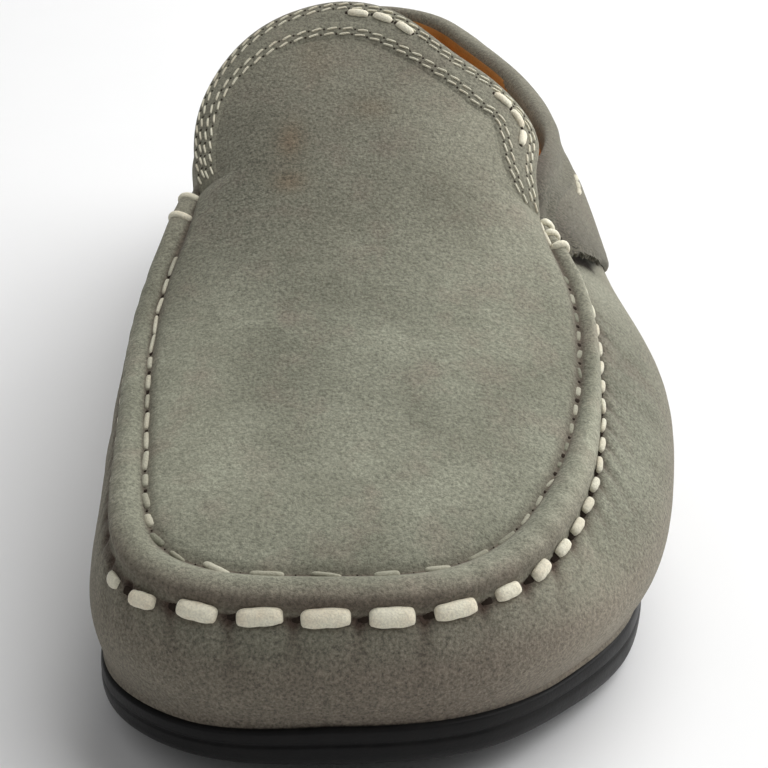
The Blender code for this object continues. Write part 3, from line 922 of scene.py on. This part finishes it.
threads = []
holes = []
STITCHES = seam_stitches()
HOLES = (STITCHES[:-1] + STITCHES[1:]) / 2


def pucker_depth(along, down):
    """How far the wall draws in below the holes of the toe seam, in short folds that lean to the toe."""
    depth = np.zeros(len(along))
    reach = random.uniform(*PUCKER_REACH, len(HOLES))
    for hole, far in zip(HOLES, reach):
        lean = PUCKER_LEAN * np.clip(hole / PUCKER_LEAN_RUN, -1, 1)
        width = PUCKER_WIDTH + PUCKER_WIDENING * down
        depth += bell(along - hole + lean * down, width) * np.exp(-down / far)
    return PUCKER_DEPTH * depth


def fold_depth(along, down):
    """Soft troughs and ridges of the wall that are placed one by one."""
    depth = np.zeros(len(along))
    for at, start, end, lean, trough, width in WALL_FOLDS:
        middle = (start + end) / 2
        line = at + lean * (down - middle)
        reach = np.clip(1 - ((down - middle) / (end - middle)) ** 2, 0, 1)
        depth += trough * bell(along - line, width) * reach
        depth -= trough * FOLD_SHOULDER * bell(along - line - 2 * width, width) * reach
    return depth


def spots(points, table):
    """Sum of soft round spots in plan."""
    total = np.zeros(len(points))
    for x, y, wide, long, strength in table:
        total += strength * np.exp(-(((points[:, 0] - x) / wide) ** 2) - ((points[:, 1] - y) / long) ** 2)
    return total


def front_sheet():
    """The inside of wall and toe seam, its points carrying what upper_columns names."""
    across = (1 - np.cos(np.linspace(0, np.pi, RIDGE_STEPS + 1))) / 2
    wall = wall_rows(FRONT, WALL_SHARES)
    down = np.linalg.norm(wall[-1] - wall, axis=2)
    at_toe = bell(ALONG, TOE_REACH)
    full = np.clip((SEAM_RUN[-1] - SEAM_RUN) / RIDGE_RUN_OUT, RIDGE_END_STAND, 1.0)
    full = full * read(RIDGE_MEDIAL, -ALONG)
    drawn = 1 - PINCH * bell(np.abs(ALONG[:, None] - HOLES).min(axis=1), PINCH_WIDTH)
    lateral_low = RIDGE_LATERAL_LOW - RIDGE_LATERAL_INNER * across[:, None]
    lowered = 1 - ramp(ALONG, *RIDGE_LATERAL) * lateral_low - RIDGE_TOE_LOW * at_toe
    stand = read(RIDGE, across)[:, None]
    stand = np.where(stand > 0, stand * full * drawn * lowered, stand * (1 - TOE_GROOVE_LESS * at_toe))[1:]

    def both(on_wall, ridge_highlight):
        """A value for the points of the wall and one for those of the ridge."""
        return np.vstack([np.broadcast_to(on_wall, down.shape), np.broadcast_to(ridge_highlight, stand.shape)])

    return carrying(
        np.concatenate([wall, ridge_rows(FRONT, across[1:])]),
        both(UPPER_WALL + RIDGE[0][1] * bell(down, RIDGE_FOOT_WIDTH), UPPER_WALL + stand),
        ALONG,
        both(down, 0),
        both(1, 0),
        both(bell(down, GROOVE_REACH), bell(across[1:, None] - 1, GROOVE_SHARE)),
        both(-1, across[1:, None]),
    )


def rear_sheet():
    """The inside of the wall behind the toe seam."""
    along = np.where(PAST_LATERAL < PAST_MEDIAL, ALONG[-1] + PAST_LATERAL, ALONG[0] - PAST_MEDIAL)
    return carrying(wall_rows(REAR, WALL_SHARES), UPPER_WALL, along, 0, 1, 0, -1)


def plug_sheets():
    """The inside of the plug: rings in from its edge, rows across the last ring, and the throat's columns."""
    edge = plug_edge(FRONT)
    middle = len(edge) // 2
    throat = slice(middle - THROAT_STEPS // 2, middle + THROAT_STEPS // 2 + 1)
    shares = np.linspace(0, PLUG_RINGS_END, PLUG_RINGS + 1) ** PLUG_CROWDING
    shares /= PLUG_RINGS_END ** (PLUG_CROWDING - 1)
    rings = np.array([plug_row(edge, share) for share in shares])
    rows = bridged(rings[-1])
    rows[:, 1:-1, 2] = crest_height(rows[:, 1:-1, 0], rows[:, 1:-1, 1])
    from_toe = np.minimum(run_length(edge), run_length(edge[::-1])[::-1])
    on_seam = ramp(from_toe[throat.start] - from_toe, 0, GROOVE_FADE)
    on_seam[throat] = 0
    groove = bell(np.linalg.norm(rings - rings[0], axis=2), PLUG_GROOVE_WIDTH)
    groove = groove * on_seam * (1 - TOE_GROOVE_LESS * bell(from_toe, TOE_REACH))
    rings = carrying(rings, UPPER_WALL - PLUG_GROOVE * groove, 0, 0, 0, groove, -1)
    return rings, carrying(rows, UPPER_WALL, 0, 0, 0, 0, -1), throat


def upper_columns(points):
    """Thickness, along, drop below the seam, 1 on the wall, groove, share across the ridge or -1."""
    return points[:, 3:].T


def upper_marks(points, normals, pucker, fold, height):
    """Painted shade, stains, wear, and painted light and shade with the lie of the pile, of the upper's
    points.
    """
    _, along, drop, walled, groove, across = upper_columns(points)
    at_toe = bell(along, TOE_REACH)
    # Painted shade in grooves, puckers and folds, on the ridge's front at the toe, over the sole and under
    # the flap's front
    painted_shade = GROOVE_SHADE * groove + PUCKER_SHADE * pucker / PUCKER_DEPTH
    painted_shade += FOLD_SHADE * np.clip(fold, 0, None)
    painted_shade += bump(across, *RIDGE_SHADE) * at_toe + bump(height, *FOOT_SHADE) * walled
    under_flap = np.clip(along - ALONG[-1] + FLAP_FRONT - FLAP_LEAN * drop, 0, 1) * (along <= ALONG[-1])
    painted_shade += FLAP_SHADE * under_flap * walled * (drop < SIDE_BAND_FRONT_DEPTH)
    on_plug = (1 - walled) * (normals[:, 2] > 0) * (across < 0)
    # Painted light and shade, partly the lie of the pile, on the plug's spots and along the wall
    nap_and_painted_light = spots(points, NAP_AND_PAINTED_LIGHT_SPOTS) * on_plug + sum(bump(along, *row) for row in WALL_PAINTED_LIGHT) * walled
    # Painted highlight along the ridge's top, stronger on the lateral side
    ridge_highlight = RIDGE_LATERAL_HIGHLIGHT * ramp(along, 0, RIDGE_HIGHLIGHT_RUN)
    ridge_highlight += RIDGE_MEDIAL_HIGHLIGHT * ramp(-along, 0, RIDGE_HIGHLIGHT_RUN)
    nap_and_painted_light += ridge_highlight * bump(across, *RIDGE_HIGHLIGHT)
    facing_up = ramp(normals[:, 2], *FACING_UP)
    worn = TONGUE_WORN * ramp(points[:, 1], *TONGUE) * facing_up + WALL_WORN * (1 - facing_up)
    worn += bump(across, *RIDGE_WORN) * at_toe + bump(along, *TOE_WORN) * walled * (along != 0)
    stain = spots(points, STAINS) * on_plug
    return {"painted_shade": np.clip(painted_shade, 0, 1), "stain": stain, "worn": worn, "nap_and_painted_light": nap_and_painted_light}


def build_upper():
    """The upper in one skin, lined inside; returns its front rows and the throat's, to sew to."""
    front = front_sheet()
    rings, middle, throat = plug_sheets()
    sheets = [grid(front), grid(rear_sheet()), grid(rings, closed=True), grid(middle)]
    points, faces, number = welded(*joined(sheets))
    numbers = np.split(number, np.cumsum([len(sheet) for sheet, _ in sheets]))
    thickness, along, drop, walled, _, _ = upper_columns(points)
    inner, normals = points[:, :3], normals_of(points, faces)
    pucker = pucker_depth(along, drop) * walled
    fold = fold_depth(along, drop) * walled
    dent = spots(inner, PLUG_DENTS) * (1 - walled)
    height = inner[:, 2] - read(FEATHER, inner[:, 1])
    fill = bump(np.abs(along), *FOOT_FILL) * walled * (along != 0)
    fill *= np.clip(1 - height / FOOT_FILL_HEIGHT, 0, 1)
    outer = inner + normals * (thickness + fill - pucker - fold - dent)[:, None]
    skin, skin_faces, sides = shell(outer, inner, faces)

    front = numbers[0].reshape(front.shape[:2])
    throat = numbers[2].reshape(rings.shape[:2])[:, throat]
    middles = skin[skin_faces].mean(axis=1)
    for corner in outer[front[-1, [0, -1]]]:
        sides[(np.linalg.norm(middles - corner, axis=1) < CORNER_REACH) & (sides == 1)] = 0
    marks = upper_marks(points, normals, pucker, fold, height)
    marks = {name: np.tile(values, 2) for name, values in marks.items()}
    make("upper_suede", skin, skin_faces, (suede, lining, suede), sides, marks, "grey_suede", ("upper",))
    return (outer[front], normals[front]), (outer[throat], normals[throat])


def stitch(path, facing, width, thickness, square=2.0, plies=3, turns=1.2, sides=16, grime=0.0):
    """One stitch: a flattened cord of twisted plies along a path, both ends going into the leather."""
    tangent = unit(np.gradient(path, axis=0))
    aside = unit(np.cross(facing, tangent))
    above = np.cross(tangent, aside)
    share = np.linspace(-1, 1, len(path))[:, None]
    full = (1 - np.abs(share) ** square) ** 0.5 * (1 - STITCH_TIP) + STITCH_TIP
    angle = np.linspace(0, 2 * np.pi, sides, endpoint=False)[None, :]
    lobe = 1 - PLY_DEPTH * (1 - np.abs(np.cos(plies * (angle - np.pi * turns * share) / 2)))
    across = np.cos(angle) * lobe * full * width / 2
    rise = np.sin(angle) * lobe * full * thickness / 2 - thickness * STITCH_SINK * share**4
    rows = path[:, None, :] + aside[:, None, :] * across[..., None] + above[:, None, :] * rise[..., None]
    return grid(carrying(rows, grime), closed=True)


def stitch_row(line, facing, middles, lengths, widths, thickness, squares=2.0, slant=0.0, steps=14, **how):
    """Stitches along a line on a surface, each at its middle and of its size, all leaning by a slant."""
    rows = np.column_stack([line, facing])
    sheets = []
    for middle, length, width, square in zip(*np.broadcast_arrays(middles, lengths, widths, squares)):
        offset = -np.cos(np.linspace(0, np.pi, steps + 1)) / 2 * length
        laid = along_line(rows, middle + offset)
        aside = unit(np.cross(laid[:, 3:], np.gradient(laid[:, :3], axis=0)))
        path = laid[:, :3] + aside * (offset * slant)[:, None]
        sheets.append(stitch(path, laid[:, 3:], width, thickness, square, **how))
    return sheets


def sew_bold_row(outer, normals):
    """The bold hand stitches between wall and ridge, and the holes between them."""
    from_toe = np.abs(STITCHES)
    share, width, square = curves(STITCH_SHAPES, from_toe)
    facing = unit(normals[SEAM_ROW] + normals[SEAM_ROW - WALL_ABOUT])
    wall = outer[SEAM_ROW::-1]
    laid, _ = lines_at(wall, normals[SEAM_ROW::-1], down_columns(wall), bump(ALONG, *BOLD_DROP))
    stand = BOLD_STAND - read(BOLD_SINK, -ALONG) + BOLD_LATERAL_STAND * ramp(ALONG, *BOLD_LATERAL)
    line = laid + facing * stand[:, None]
    run = run_length(line)
    middles = np.interp(STITCHES, ALONG, run)
    lengths = read(PITCH, from_toe) * share
    # Painted shade dims the bold stitches along the lateral side, with a darker patch on the medial side
    grimes = BOLD_LATERAL_PAINTED_SHADE * ramp(STITCHES, *BOLD_LATERAL) + bump(STITCHES, *BOLD_GRIME)
    for middle, length, wide, squareness, grime in zip(middles, lengths, width, square, grimes):
        length, wide = (length, wide) * random.normal(1, HAND_SPREAD, 2)
        slant = random.normal(0, HAND_SLANT)
        thickness = min(BOLD_THICKNESS, wide * BOLD_FLATNESS)
        cord = (length, wide, thickness, squareness, slant)
        threads.extend(stitch_row(line, facing, [middle], *cord, grime=grime))
    sizes = HOLE_LENGTH * straight(BOLD_HOLES, HOLES)
    between = np.interp(HOLES, ALONG, run)
    holes.extend(stitch_row(line - facing * BOLD_STAND, facing, between, sizes, sizes, HOLE_STAND))


def sew_inner_row(outer, normals):
    """The half-hidden hand stitches between ridge and plug, and the holes between them."""
    facing = normals[-1]
    sink = INNER_LATERAL_SINK * ramp(ALONG, *INNER_LATERAL)
    line = outer[-1] + facing * (INNER_STAND - sink)[:, None]
    middles = np.interp(STITCHES, ALONG, run_length(line))
    lengths = read(PITCH, np.abs(STITCHES)) * straight(INNER_SHARES, STITCHES)
    widths = straight(INNER_WIDTHS, STITCHES)
    # Painted shade darkens each inner stitch, half-hidden in the ridge's groove
    for middle, length, wide, grime in zip(middles, lengths, widths, read(INNER_PAINTED_SHADE, STITCHES)):
        length, wide = (length, wide) * random.normal(1, INNER_SPREAD, 2)
        grime = np.clip(grime + random.normal(0, INNER_SPREAD), 0, 1)
        shape = (length, wide, INNER_THICKNESS, INNER_SQUARE, random.normal(0, INNER_SPREAD))
        threads.extend(stitch_row(line, facing, [middle], *shape, grime=grime))
    between = np.interp(HOLES, ALONG, run_length(outer[-1]))
    sizes = HOLE_LENGTH * random.uniform(*INNER_HOLE_SPREAD, len(HOLES))
    sizes = sizes * straight(INNER_HOLES, np.abs(HOLES))
    holes.extend(stitch_row(outer[-1], facing, between, sizes, sizes, HOLE_STAND))


def sew_wraps(outer, normals):
    """The loops that bind the two ends of the toe seam, and the thread between the lateral ones."""
    sideways = unit(np.gradient(outer[SEAM_ROW], axis=0))
    lateral_ends = (1, ALONG[-1] - LATERAL_WRAPS, WRAP_STAND, 0.0)
    medial_ends = (-1, ALONG[0] + MEDIAL_WRAPS, MEDIAL_WRAP_STAND, MEDIAL_WRAP_GRIME)
    over = slice(SEAM_ROW + WRAP_SKIP, None)
    for end, starts, stand, grime in (lateral_ends, medial_ends):
        lifted = outer + normals * stand
        for start in starts:
            column = np.argmin(np.abs(ALONG - start))
            path, facing = lifted[over, column], normals[over, column]
            path = path + np.linspace(WRAP_LEAN, -WRAP_LEAN, len(path))[:, None] * end * sideways[column]
            cord = (WRAP_WIDTH, WRAP_THICKNESS, WRAP_SQUARE)
            threads.append(stitch(path, facing, *cord, turns=WRAP_TURNS, grime=grime))
    line = outer[-1] + normals[-1] * WRAP_STAND
    run = np.interp(ALONG[-1] - LATERAL_WRAPS, ALONG, run_length(line))
    middles, lengths = (run[1:] + run[:-1]) / 2, np.abs(np.diff(run))
    cord = (LEG_WIDTH, LEG_WIDTH, WRAP_SQUARE)
    threads.extend(stitch_row(line, normals[-1], middles, lengths, *cord, grime=LEG_GRIME))


def fine_row(line, facing, half_steps):
    """Adds a row of fine stitches along a line, moved on by so many half pitches, with their needle holes."""
    first = FINE_FIRST + half_steps * FINE_PITCH / 2
    middles = np.arange(first, run_length(line)[-1] - FINE_LAST, FINE_PITCH)
    lifted = line + facing * FINE_WIDTH * FINE_STAND
    cord = (FINE_LENGTH, FINE_WIDTH, FINE_WIDTH, FINE_SQUARE)
    threads.extend(stitch_row(lifted, facing, middles, *cord, **FINE_CORD))
    between = middles[:-1] + FINE_PITCH / 2
    holes.extend(stitch_row(line, facing, between, FINE_HOLE, FINE_HOLE, FINE_WIDTH / 2, **FINE_HOLE_CORD))


def build_throat_band(plug, plug_normals):
    """The strip round the throat, its fine rows and its thick stitches; returns its edge."""
    run = run_length(plug[0])
    lower_row = read(LOWER_ROW, run / run[-1])
    upper_row = read(UPPER_ROW, run / run[-1])
    width = lower_row + BAND_PAST_ROW
    shares = np.linspace(0, 1, THROAT_BAND_ROWS + 1)
    laid = [lines_at(plug, plug_normals, down_columns(plug), width * share) for share in shares]
    rows, facing = (np.array(part) for part in zip(*laid))
    facing = unit(facing)
    rows[0] += unit(rows[0] - rows[1]) * BAND_OVERHANG
    down = down_columns(rows)
    to_end = np.minimum(run, run[-1] - run)
    skived = ramp(down[-1] - down, 0, SKIVE) * ramp(to_end, 0, SKIVE_ENDS)
    stand = THROAT_BAND_THICKNESS * skived * (2 - skived) - SKIVED * (1 - skived)
    stand = stand - bump(down, *BAND_EDGE_ROUND)
    seams = [upper_row + row for row in UPPER_ROWS] + [lower_row + row for row in LOWER_ROWS]
    for row in seams:
        stand = stand - STITCH_DENT * bell(down - row, THROAT_DENT_WIDTH)
    (skin, faces, sides), outer = thickened(rows - facing * BAND_BACK, stand + BAND_BACK, facing)
    marks = {"nap_and_painted_light": THROAT_BAND_NAP * np.ones(len(skin))}
    make("throat_band_suede", skin, faces, (band_suede,), sides, marks, "band_suede", ("throat_band",))

    for k, row in enumerate(seams):
        fine_row(*lines_at(outer, facing, down, row), k % 2)
    cord = (THICK_LENGTH, THICK_WIDTH, THICK_THICKNESS, THICK_SQUARE)
    for share, inset in THICK_STITCHES:
        line, normal = lines_at(outer, facing, down, inset)
        middle = share * run_length(line)[-1]
        threads.extend(stitch_row(line + normal * THICK_STAND, normal, [middle], *cord))
        ends = middle + np.array((-0.5, 0.5)) * THICK_LENGTH
        holes.extend(stitch_row(line, normal, ends, THICK_HOLE, THICK_HOLE, HOLE_STAND))
    return outer[0]


def build_side_band(tongue):
    """The strip round the quarters, with raw front edges and stitches; returns its places and top edge."""
    ends = REAR[[0, -1]]
    fronts = ends + (-SIDE_BAND_LATERAL_REACH, SIDE_BAND_MEDIAL_REACH)
    near = 1 - ramp(PAST_LATERAL, 0, SIDE_BAND_LIFT_RUN)
    lift = near**2 * SIDE_BAND_LATERAL_LIFT
    back = ramp(np.minimum(PAST_LATERAL, PAST_MEDIAL), 0, SIDE_BAND_DEPTH_RUN)
    depth = SIDE_BAND_FRONT_DEPTH + (SIDE_BAND_DEPTH - SIDE_BAND_FRONT_DEPTH) * np.sin(back * np.pi / 2)
    fray = random.normal(0, FRAY, (SIDE_BAND_ROWS + 1, 2))
    rows = []
    for share, frayed in zip(np.linspace(1, 0, SIDE_BAND_ROWS + 1), fray):
        places = np.interp(REAR, ends, fronts + np.array((1, -1)) * SIDE_BAND_SLANT * share + frayed)
        wall = wall_rows(places, np.linspace(0, 1, SIDE_BAND_FINE + 1))[:0:-1]
        stand_off = UPPER_WALL + SIDE_BAND_SEAT + lift * read(SIDE_BAND_LIFT, share)
        lines = (wall - sheet_normals(wall) * stand_off[:, None]).transpose(1, 0, 2)
        down = SIDE_BAND_TOP * near + depth * share
        rows.append([along_line(line, [at])[0] for line, at in zip(lines, down)])
    rows = np.array(rows)
    facing = sheet_normals(rows)
    up = np.linspace(0, 1, SIDE_BAND_ROWS + 1)[:, None] * depth
    run = run_length(rows[-1])
    to_front = np.minimum(run, run[-1] - run)
    thickness = SIDE_BAND_THICKNESS * (1 - bump(up, *SIDE_BAND_FOOT_ROUND))
    thickness = thickness - bump(depth - up, *SIDE_BAND_WAIST)
    thickness = thickness * (1 - bump(to_front, *SIDE_BAND_FRONT_ROUND))
    for row in SIDE_ROWS:
        thickness = thickness - STITCH_DENT * bell(up - row, SIDE_DENT_WIDTH)
    (skin, faces, sides), outer = thickened(rows, thickness, facing)
    # Painted shade: the side band darker towards its lateral front
    nap_and_painted_light = np.broadcast_to(bump(PAST_LATERAL, *SIDE_BAND_PAINTED_SHADE), rows.shape[:2]).reshape(-1)
    # Painted shade on the band near the tongue's edge
    to_tongue = np.linalg.norm(skin[:, None] - tongue[None], axis=2).min(axis=1)
    marks = {"nap_and_painted_light": np.tile(nap_and_painted_light, 2), "painted_shade": bump(to_tongue, *TUCK_SHADE)}
    # The band's underside is painted shade, near black
    finishes = (quarter_suede, shadowed, quarter_suede)
    make("side_band_suede", skin, faces, finishes, sides, marks, "quarter_suede", ("side_band",))

    climb = np.linalg.norm(outer - outer[0], axis=2)
    shown = slice(SIDE_ROWS_FIRST, -SIDE_ROWS_FIRST)
    for k, row in enumerate(SIDE_ROWS):
        line, normal = lines_at(outer, facing, climb, row)
        fine_row(line[shown], normal[shown], k)
    band_places = np.interp(REAR, ends, fronts + fray[-1])
    from_end = band_places - REAR[0]
    inset = np.interp(from_end, FLAP_STITCHES[::2], FLAP_STITCH_INSETS)
    line, normal = lines_at(outer, facing, climb, climb[-1] - inset)
    middles = np.interp(FLAP_STITCHES, from_end, run_length(line))
    cord = (FLAP_STITCH_LENGTH, FLAP_STITCH_WIDTH, FLAP_STITCH_WIDTH, THICK_SQUARE)
    threads.extend(stitch_row(line, normal, middles, *cord, grime=FLAP_STITCH_PAINTED_SHADE))
    return band_places, outer[-1]


def collar_rings(places, foot):
    """Sections of the collar, from the foot that it shares with the side band over to the lining."""
    wall = wall_rows(places, np.linspace(0, 1, WALL_STEPS + 1))[1:]
    outward = sheet_normals(wall)[-1]
    upward = unit(wall[-1] - wall[-2])
    from_lateral = (places - REAR[0] - COLLAR_START) / COLLAR_LATERAL_RUN_OUT
    from_medial = (REAR[-1] - places - COLLAR_START) / COLLAR_MEDIAL_RUN_OUT
    swell = np.clip(np.minimum(from_lateral, from_medial), COLLAR_TIP**2, 1)[:, None] ** 0.5
    run = run_length(wall[-1])
    wave = np.sin(run / GATHER_LENGTH + GATHER_SWAY * np.sin(run / GATHER_SWAY_LENGTH))
    gather = 1 + GATHER * (wave * np.sin(run / GATHER_SPELL) ** 2)[:, None]
    drawn = bump(places - REAR[0], *COLLAR_SLIM)[:, None]
    controls = [foot]
    for across, rise, slim in COLLAR:
        reach = UPPER_WALL / 2 + (across - UPPER_WALL / 2) * swell * gather - drawn * slim
        controls.append(wall[-1] + outward * reach + upward * rise * swell)
    controls = np.array(controls + [foot])
    knots = run_length(controls[:, len(places) // 2])
    at = np.linspace(0, knots[-1], COLLAR_SIDES + 1)[:-1]
    section = spline(knots, controls.reshape(len(controls), -1), at, closed=True)
    return section.reshape(COLLAR_SIDES, len(places), 3).transpose(1, 0, 2)


def build_collar(band_places, band_top):
    """The padded roll on the edge of the quarters, suede outside and lining inside."""
    places = np.linspace(REAR[0] - COLLAR_REACH, REAR[-1] + COLLAR_REACH, COLLAR_STEPS)
    past_lateral, past_medial = places - REAR[0], REAR[-1] - places
    foot = np.column_stack([np.interp(places, band_places, axis) for axis in band_top.T])
    section = np.arange(COLLAR_SIDES) / COLLAR_SIDES
    # Painted shade: the collar darker, most towards its lateral front
    nap_and_painted_light = sum(bump(past_lateral, *row) for row in COLLAR_PAINTED_SHADE)[:, None]
    # Painted shade over the collar's front ends, from a share of the way round its section
    near_front = bump(np.minimum(past_lateral, past_medial), *COLLAR_SHADE)
    shade = near_front[:, None] * ramp(section, *COLLAR_SHADED)
    rings = carrying(collar_rings(places, foot), nap_and_painted_light, shade)
    caps = []
    for ring in (rings[0], rings[-1][::-1]):
        middle = np.broadcast_to(ring.mean(axis=0), ring.shape)
        caps.append(grid(np.array([middle, ring]), closed=True))
    points, faces, _ = welded(*joined([grid(rings, closed=True)] + caps))
    behind = np.minimum(past_lateral - LINED_PAST_LATERAL, past_medial - LINED_PAST_MEDIAL)
    lined_from = 1 - (1 - LINED_FROM) * ramp(behind, 0, LINED_RUN)
    lined = (np.arange(COLLAR_SIDES) > lined_from[1:, None] * COLLAR_SIDES).reshape(-1)
    sides = np.concatenate([lined, np.zeros(len(faces) - len(lined), bool)]).astype(int)
    marks = {"nap_and_painted_light": points[:, 3], "painted_shade": points[:, 4]}
    finishes = (collar_suede, lining)
    made = make("collar_roll", points, faces[:, ::-1], finishes, sides, marks, "collar_suede", ("collar",))


def build_insole():
    """The tan sock on the sole, rounded at its edge."""
    feather, _, _, outward = ribs_at(ALL_ROUND)
    rings = []
    for inset, height in INSOLE_SECTION:
        ring = feather - outward * (INSOLE_INSET + inset)
        ring[:, 2] += height
        rings.append(ring)
    make_closed("insole_sock", rings, lining, "tan_leather", "insole")


def build_outsole():
    """The moulded sole, with a bead, a groove and a band on its side; returns the recess underneath."""
    feather, _, _, outward = ribs_at(ALL_ROUND)
    top = feather[:, 2] + read(SOLE_LIP, ALL_ROUND)
    bottom = read(UNDERSIDE, feather[:, 1])
    seat = feather + outward * (UPPER_WALL + SOLE_SIDE[0][1])
    seat[:, 2] -= PIECE_GAP
    rings = [seat]
    for down in np.linspace(0, 1, SOLE_SIDE_STEPS + 1):
        ring = feather + outward * (UPPER_WALL + read(SOLE_SIDE, down))
        ring[:, 2] = top * (1 - down) + bottom * down
        rings.append(ring)
    for inset, up in ((SOLE_BORDER - SOLE_BORDER_SLOPE, 0.0), (SOLE_BORDER, SOLE_RECESS)):
        ring = feather + outward * (UPPER_WALL + SOLE_SIDE[-1][1] - inset)
        ring[:, 2] = read(UNDERSIDE, ring[:, 1]) + up
        rings.append(ring)
    make_closed("outsole_rubber", rings[::-1], rubber, "black_rubber", "outsole")
    return rings[-1][:, :2], outward[:, :2]


def build_tread(recess, outward):
    """Round nubs in the sole's recess, where it is near the floor."""
    field = recess - outward * (NUB_RADIUS + NUB_MARGIN)
    low, high = field.min(axis=0), field.max(axis=0)
    angle = np.linspace(0, 2 * np.pi, NUB_SIDES, endpoint=False)
    round_plan = np.column_stack([np.cos(angle), -np.sin(angle)])
    nubs = []
    for k, y in enumerate(np.arange(low[1], high[1], NUB_PITCH * NUB_ROW_PITCH)):
        ground = float(read(UNDERSIDE, y))
        for x in np.arange(low[0] + (k % 2) * NUB_PITCH / 2, high[0], NUB_PITCH):
            if ground > NUB_HIGHEST or not inside(field, x, y):
                continue
            nub = []
            for radius, up in NUB_SECTION:
                plan = np.array((x, y)) + round_plan * NUB_RADIUS * radius
                nub.append(np.column_stack([plan, np.full(NUB_SIDES, ground + SOLE_RECESS * up)]))
            nubs.append(grid(nub, closed=True))
    points, faces, _ = welded(*joined(nubs))
    make("tread_nubs", points, faces, (rubber,), slot="black_rubber")


def inside(outline, x, y):
    """Whether a place in plan is inside a closed outline."""
    after = np.roll(outline, -1, axis=0)
    spans = (outline[:, 1] > y) != (after[:, 1] > y)
    a, b = outline[spans], after[spans]
    crossing = a[:, 0] + (y - a[:, 1]) / (b[:, 1] - a[:, 1]) * (b[:, 0] - a[:, 0])
    return np.count_nonzero(crossing > x) % 2 == 1


def place_camera():
    """The camera at the photograph's viewpoint."""
    azimuth, elevation, roll = (math.radians(angle) for angle in CAMERA_ANGLES)
    level = math.cos(elevation)
    back = np.array((math.sin(azimuth) * level, -math.cos(azimuth) * level, math.sin(elevation)))
    right = unit(np.cross((0, 0, 1), back))
    up = np.cross(back, right)
    turned = math.cos(roll) * right + math.sin(roll) * up
    upright = math.cos(roll) * up - math.sin(roll) * right
    data = bpy.data.cameras.new("camera")
    data.lens = CAMERA_LENS
    data.clip_start = CAMERA_NEAR
    camera = bpy.data.objects.new("camera", data)
    axes = np.column_stack([turned, upright, back, CAMERA_PLACE])
    camera.matrix_world = Matrix(np.vstack([axes, (0, 0, 0, 1)]))
    bpy.context.scene.collection.objects.link(camera)
    bpy.context.scene.camera = camera


def place_light(name, towards, distance, size, power):
    """A square soft light that faces the shoe from this direction."""
    data = bpy.data.lights.new(name, "AREA")
    data.size = size
    data.energy = power
    light = bpy.data.objects.new(name, data)
    light.location = unit(np.array(towards)) * distance
    light.rotation_euler = (-light.location).to_track_quat("-Z", "Y").to_euler()
    bpy.context.scene.collection.objects.link(light)


def place_floor():
    """A pale floor that runs past the camera's view."""
    made, tree, shader, place = surface("pale_floor", roughness=0.8)
    ground = mixed(tree, noise(tree, place, 60, 3.0), *colours(FLOOR_COLOURS))
    tree.links.new(ground, shader.inputs["Base Color"])
    mesh = bpy.data.meshes.new("floor")
    corners = [(x * FLOOR_REACH, y * FLOOR_REACH, 0) for x, y in ((-1, -1), (1, -1), (1, 1), (-1, 1))]
    mesh.from_pydata(corners, [], [(0, 1, 2, 3)])
    mesh.materials.append(made)
    floor = bpy.data.objects.new("floor", mesh)
    bpy.context.scene.collection.objects.link(floor)


def light_world():
    """An even white studio, shown as it is."""
    world = bpy.data.worlds.new("studio")
    world.use_nodes = True
    background = world.node_tree.nodes["Background"]
    background.inputs["Color"].default_value = colour(1.0, 1.0, 1.0)
    background.inputs["Strength"].default_value = WORLD_LIGHT
    bpy.context.scene.world = world
    bpy.context.scene.view_settings.view_transform = "Standard"


suede = suede_material("grey_suede_nap", 1.0)
band_suede = suede_material("grey_suede_band", 0.97, 0.3)
quarter_suede = suede_material("grey_suede_quarter", 0.92, 0.5)
collar_suede = suede_material("grey_suede_collar", 0.92, 0.4)
lining = leather_material()
rubber = rubber_material()
thread = thread_material()
shadowed = hole_material()

seam_rows, throat_rows = build_upper()
sew_bold_row(*seam_rows)
sew_inner_row(*seam_rows)
sew_wraps(*seam_rows)
tongue_edge = build_throat_band(*throat_rows)
build_collar(*build_side_band(tongue_edge))
build_insole()
build_tread(*build_outsole())
points, faces = joined(threads)
make("cream_stitches", points, faces, (thread,), marks={"grime": points[:, 3]})
# Needle holes: dark discs of painted shade
make("needle_holes", *joined(holes), (shadowed,))
place_camera()
place_light("key", *KEY_LIGHT)
place_light("fill", *FILL_LIGHT)
place_floor()
light_world()
